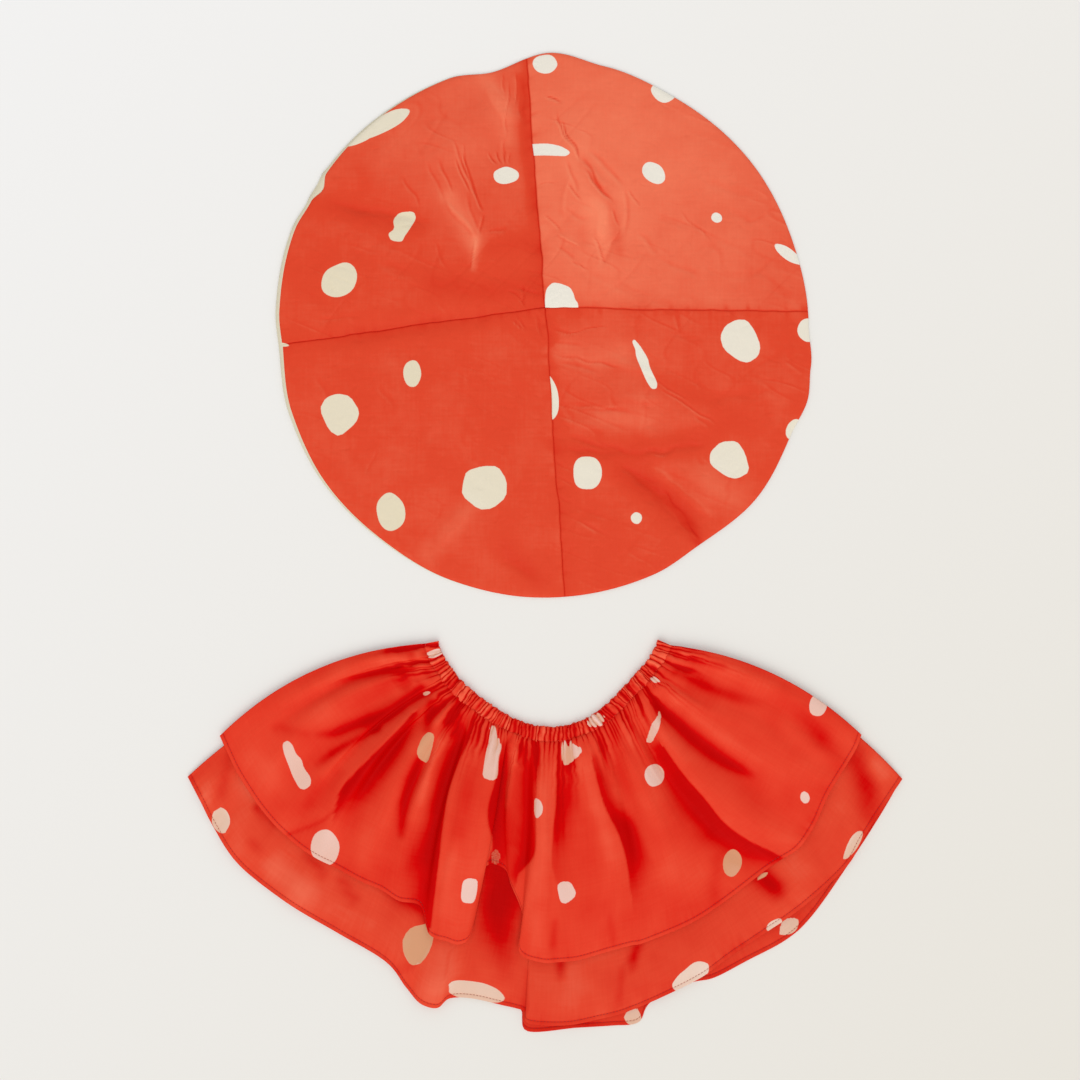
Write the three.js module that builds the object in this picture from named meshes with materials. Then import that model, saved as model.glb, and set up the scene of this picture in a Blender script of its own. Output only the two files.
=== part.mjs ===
import * as THREE from 'three';

// Mushroom costume set, laid flat with its front up: a round silk cap of four crown
// panels over a plain underside, and a skirt of two gathered tiers on an elastic waist.
// Millimetres, +Z up, +Y towards the top of the cap. The origin lies on the surface
// that the set rests on, under the middle of the whole set.

// Cloth
const wall = 1.4; // cloth wall, measured upright
const seamGap = 0.3; // between pieces at a seam, and between layers
const casingClearance = 0.6; // from the casing to a tier, whose edge has straight steps
const layerStep = wall + seamGap;

// Cap
const capCentre = { x: -1, y: 195 };
const seamCrossing = { x: 0, y: 210 }; // where the four crown panels meet
const crownRise = 8.5; // how far the crown stands above its rim
const crownShape = 2.5; // power of the crown's profile, larger is flatter on top
const crownGrid = 8; // cells along each side of a crown panel
const undersideLip = { most: 2.2, middleAngle: 200, spread: 60 }; // cream edge that shows
const undersideTuck = 1; // how far the underside stays in elsewhere
const headOpening = 76; // radius of the opening, relaxed
const headCasing = { width: 14, height: 3.4 };
const ringSteps = 60;

// Skirt
const casing = { width: 14, height: 3, gathers: 72, gatherRise: 0.9, scallop: 0.8 };
const crestAt = 0.42; // share of a tier's length at which its folds stand highest
const innerFoldsFrom = 0.82; // the long tier is flat under the short one
// Where along their length the long tiers step down off the short one behind.
const backDrop = { from: 0.84, to: 0.92 };
const frontDrop = { from: 0.91, to: 1 };
const levels = { backOuter: 0, backInner: 1, frontInner: 2, frontOuter: 3 };
// Shares of the way from waist to hem at which each tier has a section.
const sectionsAt = {
  frontOuter: [0, 0.1, 0.2, 0.3, 0.4, 0.5, 0.6, 0.7, 0.8, 0.9, 1],
  frontInner: [0, 0.3, 0.6, 0.82, 0.87, 0.91, 0.95, 1],
  backInner: [0, 0.4, 0.84, 0.88, 0.92, 1],
  backOuter: [0, 0.25, 0.5, 0.75, 1],
};

// Rim of the cap: angle in degrees from +X, and radius.
const rimRows = [
  { angle: 0, radius: 238 },
  { angle: 19, radius: 236 },
  { angle: 38, radius: 237 },
  { angle: 60, radius: 236 },
  { angle: 77, radius: 239 },
  { angle: 88, radius: 245 },
  { angle: 102, radius: 232 },
  { angle: 111, radius: 237.5 },
  { angle: 145, radius: 238.5 },
  { angle: 148.5, radius: 233 },
  { angle: 152, radius: 237 },
  { angle: 159, radius: 240 },
  { angle: 177, radius: 238.5 },
  { angle: 185.5, radius: 236 },
  { angle: 199, radius: 240 },
  { angle: 216, radius: 242 },
  { angle: 232, radius: 241.5 },
  { angle: 250, radius: 244 },
  { angle: 267.5, radius: 245 },
  { angle: 294, radius: 245 },
  { angle: 305, radius: 242 },
  { angle: 321, radius: 246.5 },
  { angle: 336.5, radius: 243 },
  { angle: 344, radius: 246.5 },
  { angle: 351, radius: 243 },
];

// Crown panels: the rim angles of the seams at their two sides.
const crownPanels = [
  { name: 'crown_panel_top_right', from: 3, to: 93.7 },
  { name: 'crown_panel_top_left', from: 93.7, to: 184.2 },
  { name: 'crown_panel_bottom_left', from: 184.2, to: 274.4 },
  { name: 'crown_panel_bottom_right', from: 274.4, to: 363 },
];

// Broad soft ridges (+) and troughs (-) of the crown, from one end to the other.
const crownFolds = [
  { x: 66, y: 84, toX: 146, toY: -2, width: 15, height: -2.6 },
  { x: 84, y: 104, toX: 168, toY: 22, width: 18, height: 1.8 },
  { x: -210, y: 312, toX: -90, toY: 286, width: 16, height: -1.6 },
  { x: -24, y: 404, toX: -110, toY: 330, width: 20, height: 1.8 },
  { x: 20, y: 390, toX: 46, toY: 270, width: 16, height: 1.6 },
  { x: -16, y: 415, toX: -4, toY: 226, width: 9, height: -1.8 },
  { x: -226, y: 178, toX: -16, toY: 208, width: 9, height: -1.8 },
  { x: 30, y: 132, toX: 170, toY: 118, width: 20, height: 1.4 },
];

// Neckline of the skirt, the top edge of its casing, from the left end to the right.
const neckRows = [
  { x: -96, y: -89 },
  { x: -94, y: -98 },
  { x: -86, y: -111 },
  { x: -73, y: -127 },
  { x: -52, y: -144 },
  { x: -27, y: -159 },
  { x: 1, y: -166.5 },
  { x: 30, y: -162 },
  { x: 52, y: -149 },
  { x: 70, y: -131 },
  { x: 86, y: -114 },
  { x: 97, y: -99 },
  { x: 102, y: -88 },
];

// Folds of the short tier in front, left to right. gather: share of the waist at which
// the fold line starts. x, y: where it meets the hem. bow: how far it swings to its
// left on the way down. crest, hem: how far it stands up at its highest and at the hem.
const frontOuterFolds = [
  { gather: 0, x: -292, y: -174, bow: -19, crest: 0.3, hem: 0 },
  { gather: 0.025, x: -285, y: -189, bow: -18, crest: 4, hem: 1.5 },
  { gather: 0.05, x: -276, y: -207, bow: -22, crest: 1.5, hem: 2.5 },
  { gather: 0.08, x: -260, y: -232, bow: -27, crest: 6, hem: 3 },
  { gather: 0.1, x: -246, y: -250, bow: -20, crest: 1.2, hem: 2.5 },
  { gather: 0.118, x: -235, y: -261, bow: -16, crest: 4, hem: 3 },
  { gather: 0.134, x: -220, y: -274, bow: -19, crest: 1, hem: 3 },
  { gather: 0.15, x: -204, y: -284, bow: -15, crest: 9, hem: 4 },
  { gather: 0.17, x: -186, y: -293, bow: -14, crest: 0.5, hem: 1.5 },
  { gather: 0.188, x: -165, y: -304, bow: -11, crest: 7, hem: 4 },
  { gather: 0.206, x: -147, y: -312, bow: -11, crest: 2.5, hem: 2.5 },
  { gather: 0.225, x: -131, y: -322, bow: -12, crest: 7, hem: 2 },
  { gather: 0.245, x: -113, y: -327, bow: -8, crest: 0, hem: 0 },
  { gather: 0.262, x: -103, y: -349, bow: -8, crest: 8, hem: 4 },
  { gather: 0.3, x: -89, y: -357, bow: -6, crest: 13, hem: 7 },
  { gather: 0.34, x: -76, y: -360, bow: 0, crest: 12, hem: 7 },
  { gather: 0.37, x: -66, y: -347, bow: 0, crest: 7, hem: 3 },
  { gather: 0.388, x: -54, y: -294, bow: 0, crest: 0, hem: 0 },
  { gather: 0.405, x: -38, y: -293, bow: -3, crest: 0, hem: 0 },
  { gather: 0.425, x: -31, y: -309, bow: -4, crest: 3, hem: 1 },
  { gather: 0.445, x: -25, y: -336, bow: -2, crest: 0.5, hem: 0.5 },
  { gather: 0.462, x: -20, y: -366, bow: 3, crest: 7, hem: 5 },
  { gather: 0.49, x: -4, y: -376, bow: -1, crest: 11, hem: 7 },
  { gather: 0.525, x: 15, y: -376, bow: -4, crest: 8, hem: 6 },
  { gather: 0.56, x: 32, y: -374, bow: 0, crest: 1, hem: 5 },
  { gather: 0.6, x: 56, y: -367, bow: 11, crest: 9, hem: 5 },
  { gather: 0.63, x: 76, y: -362, bow: 10, crest: 6, hem: 3 },
  { gather: 0.66, x: 92, y: -358, bow: 9, crest: 0.5, hem: 2 },
  { gather: 0.7, x: 130, y: -342, bow: 3, crest: 8, hem: 4 },
  { gather: 0.74, x: 159, y: -324, bow: -3, crest: 5, hem: 3 },
  { gather: 0.78, x: 195, y: -297, bow: -13, crest: 0, hem: 0.5 },
  { gather: 0.812, x: 210, y: -286, bow: -15, crest: 6, hem: 3 },
  { gather: 0.835, x: 228, y: -274, bow: -16, crest: 9, hem: 4 },
  { gather: 0.865, x: 242, y: -254, bow: -9, crest: 1, hem: 3 },
  { gather: 0.895, x: 255, y: -225, bow: -5, crest: 6, hem: 3.5 },
  { gather: 0.945, x: 273, y: -196, bow: 4, crest: 1.5, hem: 2.5 },
  { gather: 0.972, x: 280, y: -184, bow: 11, crest: 5, hem: 2 },
  { gather: 1, x: 284, y: -173, bow: 16, crest: 0.3, hem: 0 },
];

// Folds of the long tier in front, which stand up only at the hem. It shows below the
// short one.
const frontInnerFolds = [
  { gather: 0, x: -321.3, y: -211, bow: -15, hem: 0 },
  { gather: 0.05, x: -310, y: -232, bow: -15, hem: 2 },
  { gather: 0.09, x: -298, y: -256, bow: -15, hem: 1 },
  { gather: 0.13, x: -280, y: -284, bow: -15, hem: 3 },
  { gather: 0.17, x: -258, y: -305, bow: -14, hem: 1 },
  { gather: 0.21, x: -224, y: -329, bow: -12, hem: 3 },
  { gather: 0.25, x: -185, y: -352, bow: -10, hem: 1 },
  { gather: 0.28, x: -143, y: -377, bow: -7, hem: 2 },
  { gather: 0.305, x: -125, y: -400, bow: -5, hem: 1 },
  { gather: 0.33, x: -112, y: -414, bow: -4, hem: 4 },
  { gather: 0.355, x: -97, y: -418, bow: -3, hem: 5 },
  { gather: 0.38, x: -86, y: -410, bow: -2, hem: 2 },
  { gather: 0.41, x: -66, y: -410, bow: -1, hem: 1 },
  { gather: 0.44, x: -40, y: -416, bow: 0, hem: 0 },
  { gather: 0.467, x: -19, y: -422, bow: 0, hem: 0 },
  { gather: 0.49, x: -11, y: -433, bow: 0, hem: 4 },
  { gather: 0.53, x: 19, y: -434, bow: 1, hem: 3 },
  { gather: 0.58, x: 50, y: -428, bow: 3, hem: 3 },
  { gather: 0.62, x: 71, y: -423, bow: 4, hem: 1 },
  { gather: 0.66, x: 104, y: -409, bow: 4, hem: 3 },
  { gather: 0.71, x: 140, y: -391, bow: 2, hem: 3 },
  { gather: 0.76, x: 167, y: -372, bow: -1, hem: 1 },
  { gather: 0.8, x: 198, y: -351, bow: -4, hem: 2 },
  { gather: 0.85, x: 231, y: -328, bow: -5, hem: 3 },
  { gather: 0.9, x: 270, y: -293, bow: 0, hem: 1 },
  { gather: 0.94, x: 285, y: -268, bow: 6, hem: 2 },
  { gather: 0.97, x: 301, y: -243, bow: 12, hem: 1 },
  { gather: 1, x: 321.3, y: -213, bow: 20, hem: 0 },
];

// Outline of the long tier behind, which shows below and to the right of the front one.
const backInnerFolds = [
  { gather: 0, x: -319, y: -212, bow: -14 },
  { gather: 0.08, x: -298, y: -249, bow: -15 },
  { gather: 0.17, x: -256, y: -301, bow: -14 },
  { gather: 0.26, x: -189, y: -345, bow: -9 },
  { gather: 0.32, x: -137, y: -370, bow: -5 },
  { gather: 0.38, x: -95, y: -395, bow: -2 },
  { gather: 0.44, x: -41, y: -409, bow: 0 },
  { gather: 0.475, x: -22, y: -420, bow: 0 },
  { gather: 0.49, x: -16, y: -440, bow: 0 },
  { gather: 0.54, x: 28, y: -437, bow: 1 },
  { gather: 0.59, x: 60, y: -435, bow: 3 },
  { gather: 0.63, x: 84, y: -432, bow: 4 },
  { gather: 0.65, x: 95, y: -414, bow: 4 },
  { gather: 0.69, x: 130, y: -397, bow: 3 },
  { gather: 0.73, x: 152, y: -392, bow: 0 },
  { gather: 0.78, x: 181, y: -377, bow: -3 },
  { gather: 0.83, x: 218, y: -357, bow: -5 },
  { gather: 0.87, x: 242, y: -334, bow: -4 },
  { gather: 0.92, x: 277, y: -284, bow: 2 },
  { gather: 0.97, x: 302, y: -245, bow: 12 },
  { gather: 1, x: 320, y: -214, bow: 19 },
];

// Outline of the short tier behind, hidden under the rest.
const backOuterFolds = [
  { gather: 0, x: -272, y: -176, bow: -15 },
  { gather: 0.12, x: -244, y: -228, bow: -15 },
  { gather: 0.22, x: -194, y: -272, bow: -12 },
  { gather: 0.32, x: -130, y: -315, bow: -5 },
  { gather: 0.44, x: -50, y: -335, bow: 0 },
  { gather: 0.55, x: 28, y: -340, bow: 2 },
  { gather: 0.66, x: 95, y: -335, bow: 4 },
  { gather: 0.77, x: 165, y: -310, bow: -4 },
  { gather: 0.87, x: 224, y: -250, bow: -5 },
  { gather: 1, x: 266, y: -177, bow: 13 },
];

const redSilk = () => new THREE.MeshStandardMaterial({ color: 0xe2472f, roughness: 0.55, metalness: 0 });
const creamSilk = () => new THREE.MeshStandardMaterial({ color: 0xe8e2cf, roughness: 0.6, metalness: 0 });

const smooth = (share) => THREE.MathUtils.smoothstep(share, 0, 1);

// A closed solid through rings of points. Every ring has an even number of points: the
// first half runs along one face of the wall and the second half comes back along the
// other, and both faces are split along the same diagonals.
function loft(rings, closed = false) {
  const count = rings[0].length;
  const half = count / 2;
  const index = [];
  const at = (ring, point) => (ring % rings.length) * count + (point % count);
  const spans = closed ? rings.length : rings.length - 1;
  for (let ring = 0; ring < spans; ring++) {
    for (let point = 0; point < count; point++) {
      const a = at(ring, point);
      const b = at(ring, point + 1);
      const c = at(ring + 1, point + 1);
      const d = at(ring + 1, point);
      if (point < half) index.push(a, b, c, a, c, d);
      else index.push(a, b, d, b, c, d);
    }
  }
  if (!closed) {
    for (let point = 0; point < half - 1; point++) {
      const back = count - 1 - point;
      const last = rings.length - 1;
      index.push(at(0, point), at(0, back), at(0, back - 1));
      index.push(at(0, point), at(0, back - 1), at(0, point + 1));
      index.push(at(last, point), at(last, back - 1), at(last, back));
      index.push(at(last, point), at(last, point + 1), at(last, back - 1));
    }
  }
  const points = rings.flat();
  let volume = 0;
  for (let i = 0; i < index.length; i += 3) {
    const cross = points[index[i + 1]].clone().cross(points[index[i + 2]]);
    volume += points[index[i]].dot(cross);
  }
  if (volume < 0) index.reverse();
  const geometry = new THREE.BufferGeometry().setFromPoints(points);
  geometry.setIndex(index);
  return geometry;
}

// A cloth wall from sections of its middle surface: each section becomes a ring, half a
// wall above the points on the way out and half a wall below them on the way back.
function clothWall(sections) {
  const rings = sections.map((section) => {
    const over = section.map((p) => new THREE.Vector3(p.x, p.y, p.z + wall / 2));
    const under = section.map((p) => new THREE.Vector3(p.x, p.y, p.z - wall / 2));
    return [...over, ...under.reverse()];
  });
  return loft(rings);
}

function rimRadius(angle) {
  const turned = ((angle % 360) + 360) % 360;
  const next = rimRows.findIndex((row) => row.angle > turned);
  const after = next === -1 ? { ...rimRows[0], angle: 360 } : rimRows[next];
  const before = next === -1 ? rimRows[rimRows.length - 1] : rimRows[next - 1];
  const share = (turned - before.angle) / (after.angle - before.angle);
  return THREE.MathUtils.lerp(before.radius, after.radius, smooth(share));
}

function capPoint(angle, radius) {
  const turn = THREE.MathUtils.degToRad(angle);
  return { x: capCentre.x + radius * Math.cos(turn), y: capCentre.y + radius * Math.sin(turn) };
}

// Height of the crown's middle surface: a shallow dome with soft folds that fade at the rim.
function crownHeight(x, y) {
  const dx = x - capCentre.x;
  const dy = y - capCentre.y;
  const reach = Math.hypot(dx, dy) / rimRadius(THREE.MathUtils.radToDeg(Math.atan2(dy, dx)));
  const inside = Math.max(0, 1 - reach ** crownShape);
  let height = layerStep + wall / 2 + crownRise * inside;
  for (const fold of crownFolds) {
    const alongX = fold.toX - fold.x;
    const alongY = fold.toY - fold.y;
    const length = Math.hypot(alongX, alongY);
    const along = ((x - fold.x) * alongX + (y - fold.y) * alongY) / length ** 2;
    const aside = ((x - fold.x) * alongY - (y - fold.y) * alongX) / length;
    const ends = smooth(4 * along) * smooth(4 * (1 - along));
    height += fold.height * ends * Math.exp(-((aside / fold.width) ** 2)) * smooth(3 * inside);
  }
  return height;
}

// A quarter of the crown on a square grid: one corner at the crossing, two sides on the
// seams and two sides on the rim, moved out from the crossing by half a seam gap.
function crownPanel(panel) {
  const shift = seamGap / Math.SQRT2;
  const bisector = THREE.MathUtils.degToRad((panel.from + panel.to) / 2);
  const sections = [];
  for (let i = 0; i <= crownGrid; i++) {
    const section = [];
    for (let j = 0; j <= crownGrid; j++) {
      const out = Math.max(i, j) / crownGrid;
      const turn = i >= j ? (0.5 * j) / Math.max(i, 1) : 1 - (0.5 * i) / j;
      const angle = THREE.MathUtils.lerp(panel.from, panel.to, turn);
      const rim = capPoint(angle, rimRadius(angle));
      const x = THREE.MathUtils.lerp(seamCrossing.x, rim.x, out) + shift * Math.cos(bisector);
      const y = THREE.MathUtils.lerp(seamCrossing.y, rim.y, out) + shift * Math.sin(bisector);
      section.push({ x, y, z: crownHeight(x, y) });
    }
    sections.push(section);
  }
  return clothWall(sections);
}

// A flat ring round the cap's centre between an inner radius and an outer one, which is a
// function of the angle.
function capRing(inner, outer, height) {
  const rings = [];
  for (let step = 0; step < ringSteps; step++) {
    const angle = (360 * step) / ringSteps;
    const near = capPoint(angle, inner);
    const far = capPoint(angle, outer(angle));
    rings.push([
      new THREE.Vector3(near.x, near.y, height),
      new THREE.Vector3(far.x, far.y, height),
      new THREE.Vector3(far.x, far.y, 0),
      new THREE.Vector3(near.x, near.y, 0),
    ]);
  }
  return loft(rings, true);
}

function undersideRadius(angle) {
  const offMiddle = (angle - undersideLip.middleAngle) / undersideLip.spread;
  const shown = Math.exp(-(offMiddle ** 2));
  return rimRadius(angle) - undersideTuck + (undersideTuck + undersideLip.most) * shown;
}

const neckline = new THREE.CatmullRomCurve3(neckRows.map((row) => new THREE.Vector3(row.x, row.y, 0)));

// A point of the skirt's waist: share of the way along the neckline, and distance below it.
function waistPoint(share, below) {
  const point = neckline.getPointAt(share);
  const along = neckline.getTangentAt(share);
  return { x: point.x + along.y * below, y: point.y - along.x * below };
}

// The ruched casing: a flat tube whose top and edges follow its gathers.
function casingStretch(bottom, gathers, rise, scallop) {
  const rings = [];
  const steps = gathers * 2;
  for (let step = 0; step <= steps; step++) {
    const crest = step % 2;
    const share = step / steps;
    const edge = scallop * (1 - crest);
    const shoulder = bottom + casing.height * 0.6;
    const top = bottom + casing.height + rise * (crest - 0.5);
    const place = (below, z) => {
      const point = waistPoint(share, below);
      return new THREE.Vector3(point.x, point.y, z);
    };
    rings.push([
      place(edge, shoulder),
      place(casing.width * 0.25, top),
      place(casing.width * 0.75, top),
      place(casing.width, shoulder),
      place(casing.width, bottom),
      place(casing.width * 0.75, bottom),
      place(casing.width * 0.25, bottom),
      place(edge, bottom),
    ]);
  }
  return loft(rings);
}

// One point of a fold line: along the chord from waist to hem, bowed to its left by a
// parabola.
function foldLine(row, down) {
  const start = waistPoint(row.gather, casing.width + casingClearance);
  const dx = row.x - start.x;
  const dy = row.y - start.y;
  const length = Math.hypot(dx, dy);
  const swing = row.bow * 4 * down * (1 - down);
  return {
    x: start.x + dx * down - (dy / length) * swing,
    y: start.y + dy * down + (dx / length) * swing,
  };
}

// How far a fold of the short tier stands up: a quarter sine to its crest, then a smooth
// run to its height at the hem.
function outerRise(row, down) {
  if (down < crestAt) return row.crest * Math.sin((Math.PI / 2) * (down / crestAt));
  return THREE.MathUtils.lerp(row.crest, row.hem, smooth((down - crestAt) / (1 - crestAt)));
}

function innerRise(row, down) {
  return row.hem * smooth((down - innerFoldsFrom) / (1 - innerFoldsFrom));
}

// A cubic through values one step apart. The slopes at its ends are given.
function cubic(from, to, slopeFrom, slopeTo, share) {
  const square = share * share;
  const cube = square * share;
  return (
    from * (2 * cube - 3 * square + 1) +
    slopeFrom * (cube - 2 * square + share) +
    to * (3 * square - 2 * cube) +
    slopeTo * (cube - square)
  );
}

// Slope of heights at a row: none on a crest or in a trough, else the harmonic mean.
function heightSlope(before, here, after) {
  const rising = here - before;
  const next = after - here;
  return rising * next <= 0 ? 0 : (2 * rising * next) / (rising + next);
}

// The rows of a table with as many rows worked out between each two of them: places by a
// smooth curve through the rows, heights so that the rows stay crests and troughs.
function fillRows(rows, perFold) {
  const pick = (i) => rows[THREE.MathUtils.clamp(i, 0, rows.length - 1)];
  const filled = [];
  for (let i = 0; i < rows.length - 1; i++) {
    const [p, q, r, s] = [pick(i - 1), pick(i), pick(i + 1), pick(i + 2)];
    const place = (key, share) => cubic(q[key], r[key], (r[key] - p[key]) / 2, (s[key] - q[key]) / 2, share);
    const height = (key, share) => {
      const [a, b, c, d] = [p, q, r, s].map((row) => row[key] ?? 0);
      return cubic(b, c, heightSlope(a, b, c), heightSlope(b, c, d), share);
    };
    for (let step = 0; step < perFold; step++) {
      const share = step / perFold;
      filled.push({
        gather: THREE.MathUtils.lerp(q.gather, r.gather, share),
        x: place('x', share),
        y: place('y', share),
        bow: place('bow', share),
        crest: height('crest', share),
        hem: height('hem', share),
      });
    }
  }
  filled.push(rows[rows.length - 1]);
  return filled;
}

// A tier of the skirt: sections across its folds, at the given shares of the way from
// the waist to the hem.
function skirtTier(rows, shares, perFold, levelOf, riseOf) {
  const folds = fillRows(rows, perFold);
  const sections = shares.map((down) => {
    const level = levelOf(down) + wall / 2;
    return folds.map((row) => ({ ...foldLine(row, down), z: level + riseOf(row, down) }));
  });
  return clothWall(sections);
}

const flat = () => 0;
const layer = (count) => count * layerStep;

// A long tier lies a layer lower past the hem of the short tier behind it.
function steppedLayer(count, drop) {
  return (down) => layer(count) - layerStep * smooth((down - drop.from) / (drop.to - drop.from));
}

function piece(name, geometry, material) {
  const mesh = new THREE.Mesh(geometry, material);
  mesh.name = name;
  return mesh;
}

const cap = new THREE.Group();
for (const panel of crownPanels) cap.add(piece(panel.name, crownPanel(panel), redSilk()));
const casingRim = headOpening + headCasing.width;
cap.add(piece('cap_underside', capRing(casingRim + seamGap, undersideRadius, wall), creamSilk()));
cap.add(piece('cap_head_casing', capRing(headOpening, () => casingRim, headCasing.height), creamSilk()));

const skirt = new THREE.Group();
const casingLift = casing.height + seamGap;
const casingBack = casingStretch(0, casing.gathers / 2, 0, 0);
const casingFront = casingStretch(casingLift, casing.gathers, casing.gatherRise, casing.scallop);
const frontOuterLevel = () => layer(levels.frontOuter);
const frontInnerLevel = steppedLayer(levels.frontInner, frontDrop);
const backInnerLevel = steppedLayer(levels.backInner, backDrop);
const backOuterLevel = () => layer(levels.backOuter);
const tierBackOuter = skirtTier(backOuterFolds, sectionsAt.backOuter, 4, backOuterLevel, flat);
const tierBackInner = skirtTier(backInnerFolds, sectionsAt.backInner, 2, backInnerLevel, flat);
const tierFrontInner = skirtTier(frontInnerFolds, sectionsAt.frontInner, 2, frontInnerLevel, innerRise);
const tierFrontOuter = skirtTier(frontOuterFolds, sectionsAt.frontOuter, 2, frontOuterLevel, outerRise);
skirt.add(piece('waist_casing_back', casingBack, redSilk()));
skirt.add(piece('waist_casing_front', casingFront, redSilk()));
skirt.add(piece('outer_tier_back', tierBackOuter, redSilk()));
skirt.add(piece('inner_tier_back', tierBackInner, redSilk()));
skirt.add(piece('inner_tier_front', tierFrontInner, redSilk()));
skirt.add(piece('outer_tier_front', tierFrontOuter, redSilk()));

const costume = new THREE.Group();
costume.add(cap, skirt);

export default costume;
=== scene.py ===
import math

import bpy
import numpy as np
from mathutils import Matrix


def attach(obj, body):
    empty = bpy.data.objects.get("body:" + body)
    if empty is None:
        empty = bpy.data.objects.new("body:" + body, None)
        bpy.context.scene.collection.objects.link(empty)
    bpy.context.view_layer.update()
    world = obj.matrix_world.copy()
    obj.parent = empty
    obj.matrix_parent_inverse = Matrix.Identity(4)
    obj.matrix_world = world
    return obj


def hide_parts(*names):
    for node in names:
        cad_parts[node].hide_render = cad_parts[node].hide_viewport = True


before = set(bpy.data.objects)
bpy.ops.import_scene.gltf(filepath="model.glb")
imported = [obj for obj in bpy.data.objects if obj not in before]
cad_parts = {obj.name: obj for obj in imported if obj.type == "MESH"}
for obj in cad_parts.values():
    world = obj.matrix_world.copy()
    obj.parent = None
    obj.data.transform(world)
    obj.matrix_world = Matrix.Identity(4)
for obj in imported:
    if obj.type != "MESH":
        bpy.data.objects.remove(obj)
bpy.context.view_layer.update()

print("frame loaded")

# Lengths are in millimetres, as on a maker's pattern, and turn into metres in addPiece.
# +Y points to the top of the cap, +Z up out of the surface the set lies on.
millimetre = 0.001

cloth = {
    "wall": 1.4,  # the solids' cloth wall, whose middle the thin cloth follows
    "thickness": 0.42,
    "hemThickness": 0.7,
    "casingThickness": 0.3,
    "layerStep": 1.7,
}


def linearColour(hexColour):
    # sRGB hex to linear: the power curve of sRGB, with its straight part near black
    values = [int(hexColour[i:i + 2], 16) / 255 for i in (1, 3, 5)]
    return tuple(v / 12.92 if v <= 0.04045 else ((v + 0.055) / 1.055) ** 2.4 for v in values) + (1.0,)


def addNode(tree, kind, settings=None, links=None):
    # A node with its settings (sockets by name or number, or node properties) and links in.
    # A link comes from a socket, or from the first output of a node.
    node = tree.nodes.new("ShaderNode" + kind)
    for key, value in (settings or {}).items():
        if isinstance(key, str) and hasattr(node, key):
            setattr(node, key, value)
        else:
            node.inputs[key].default_value = value
    for key, source in (links or {}).items():
        tree.links.new(getattr(source, "outputs", [source])[0], node.inputs[key])
    return node


def smooth(share):
    # 3s^2 - 2s^3, held at 0 and 1 outside
    s = np.clip(share, 0, 1)
    return s * s * (3 - 2 * s)


def blend(a, b, share):
    # a + (b - a) * share: a where share is 0, b where it is 1
    return a + (b - a) * share


def rowsOf(names, table):
    # a table's rows by the names of their columns; a row may leave out its last ones
    return [dict(zip(names.split(), row)) for row in table]


def column(rows, key):
    # one column of a table, as an array
    return np.array([row[key] for row in rows], float)


def noiseLine(places, pitch, seed):
    # smooth noise along a line, from -1 to 1: random values a pitch apart, joined smoothly
    values = np.random.default_rng(seed).uniform(-1, 1, 4096)
    steps = np.asarray(places) / pitch + 1000
    whole = np.floor(steps).astype(int)
    return blend(values[whole % 4096], values[(whole + 1) % 4096], smooth(steps - whole))


def noiseField(x, y, pitch, seed):
    # smooth noise over a plane: random values on a square grid, joined smoothly
    values = np.random.default_rng(seed).uniform(-1, 1, (512, 512))
    across, up = x / pitch + 200.37, y / pitch + 200.71
    i, j = np.floor(across).astype(int), np.floor(up).astype(int)
    a, b = smooth(across - i), smooth(up - j)
    i, j = i % 511, j % 511
    low = blend(values[i, j], values[i + 1, j], a)
    high = blend(values[i, j + 1], values[i + 1, j + 1], a)
    return blend(low, high, b)


def creaseField(x, y, creases, narrow=1.0, crook=0.0):
    # Troughs (-) and ridges (+) along short lines: height times a bell across the line,
    # faded at both ends. bow bends the line into an arc.
    total = np.zeros_like(x)
    crooked = crook * noiseField(x, y, 11, 71) if crook else 0
    for row in creases:
        alongX, alongY = row["toX"] - row["x"], row["toY"] - row["y"]
        length = math.hypot(alongX, alongY)
        along = ((x - row["x"]) * alongX + (y - row["y"]) * alongY) / length ** 2
        aside = ((x - row["x"]) * alongY - (y - row["y"]) * alongX) / length
        aside = aside - row.get("bow", 0) * 4 * along * (1 - along) + crooked
        ends = smooth(3.5 * along) * smooth(3.5 * (1 - along))
        total += row["height"] * ends * np.exp(-(aside / (narrow * row["width"])) ** 2)
    return total


def rowsAt(rows, key, share, level=False):
    # A column of a fold table at any share of the waist. Places follow a smooth curve
    # through the rows. Levels keep each row a crest or a trough: their slope is the
    # harmonic mean of the slopes beside it, and none on a crest or in a trough.
    gathers, values = column(rows, "gather"), column(rows, key)
    last = len(rows) - 1
    i = np.clip(np.searchsorted(gathers, share, side="right") - 1, 0, last - 1)
    t = (share - gathers[i]) / (gathers[i + 1] - gathers[i])
    steps = np.diff(values, prepend=values[0], append=values[-1])
    if level:
        rising, falling = steps[:-1], steps[1:]
        together = rising + falling
        safe = np.where(together == 0, 1, together)
        slopes = np.where(rising * falling > 0, 2 * rising * falling / safe, 0)
    else:
        slopes = (steps[:-1] + steps[1:]) / 2
    return (values[i] * (2 * t ** 3 - 3 * t ** 2 + 1) + slopes[i] * (t ** 3 - 2 * t ** 2 + t)
            + values[i + 1] * (3 * t ** 2 - 2 * t ** 3) + slopes[i + 1] * (t ** 3 - t ** 2))


def curveThrough(points, count):
    # a smooth curve through a few points, and the place of each of its steps among them
    rows = [{"gather": i, "x": x, "y": y} for i, (x, y) in enumerate(points)]
    places = np.linspace(0, len(points) - 1, count)
    return rowsAt(rows, "x", places), rowsAt(rows, "y", places), places


sharpEdge = 1.1  # mm, over which a one-sided fold ends


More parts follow.
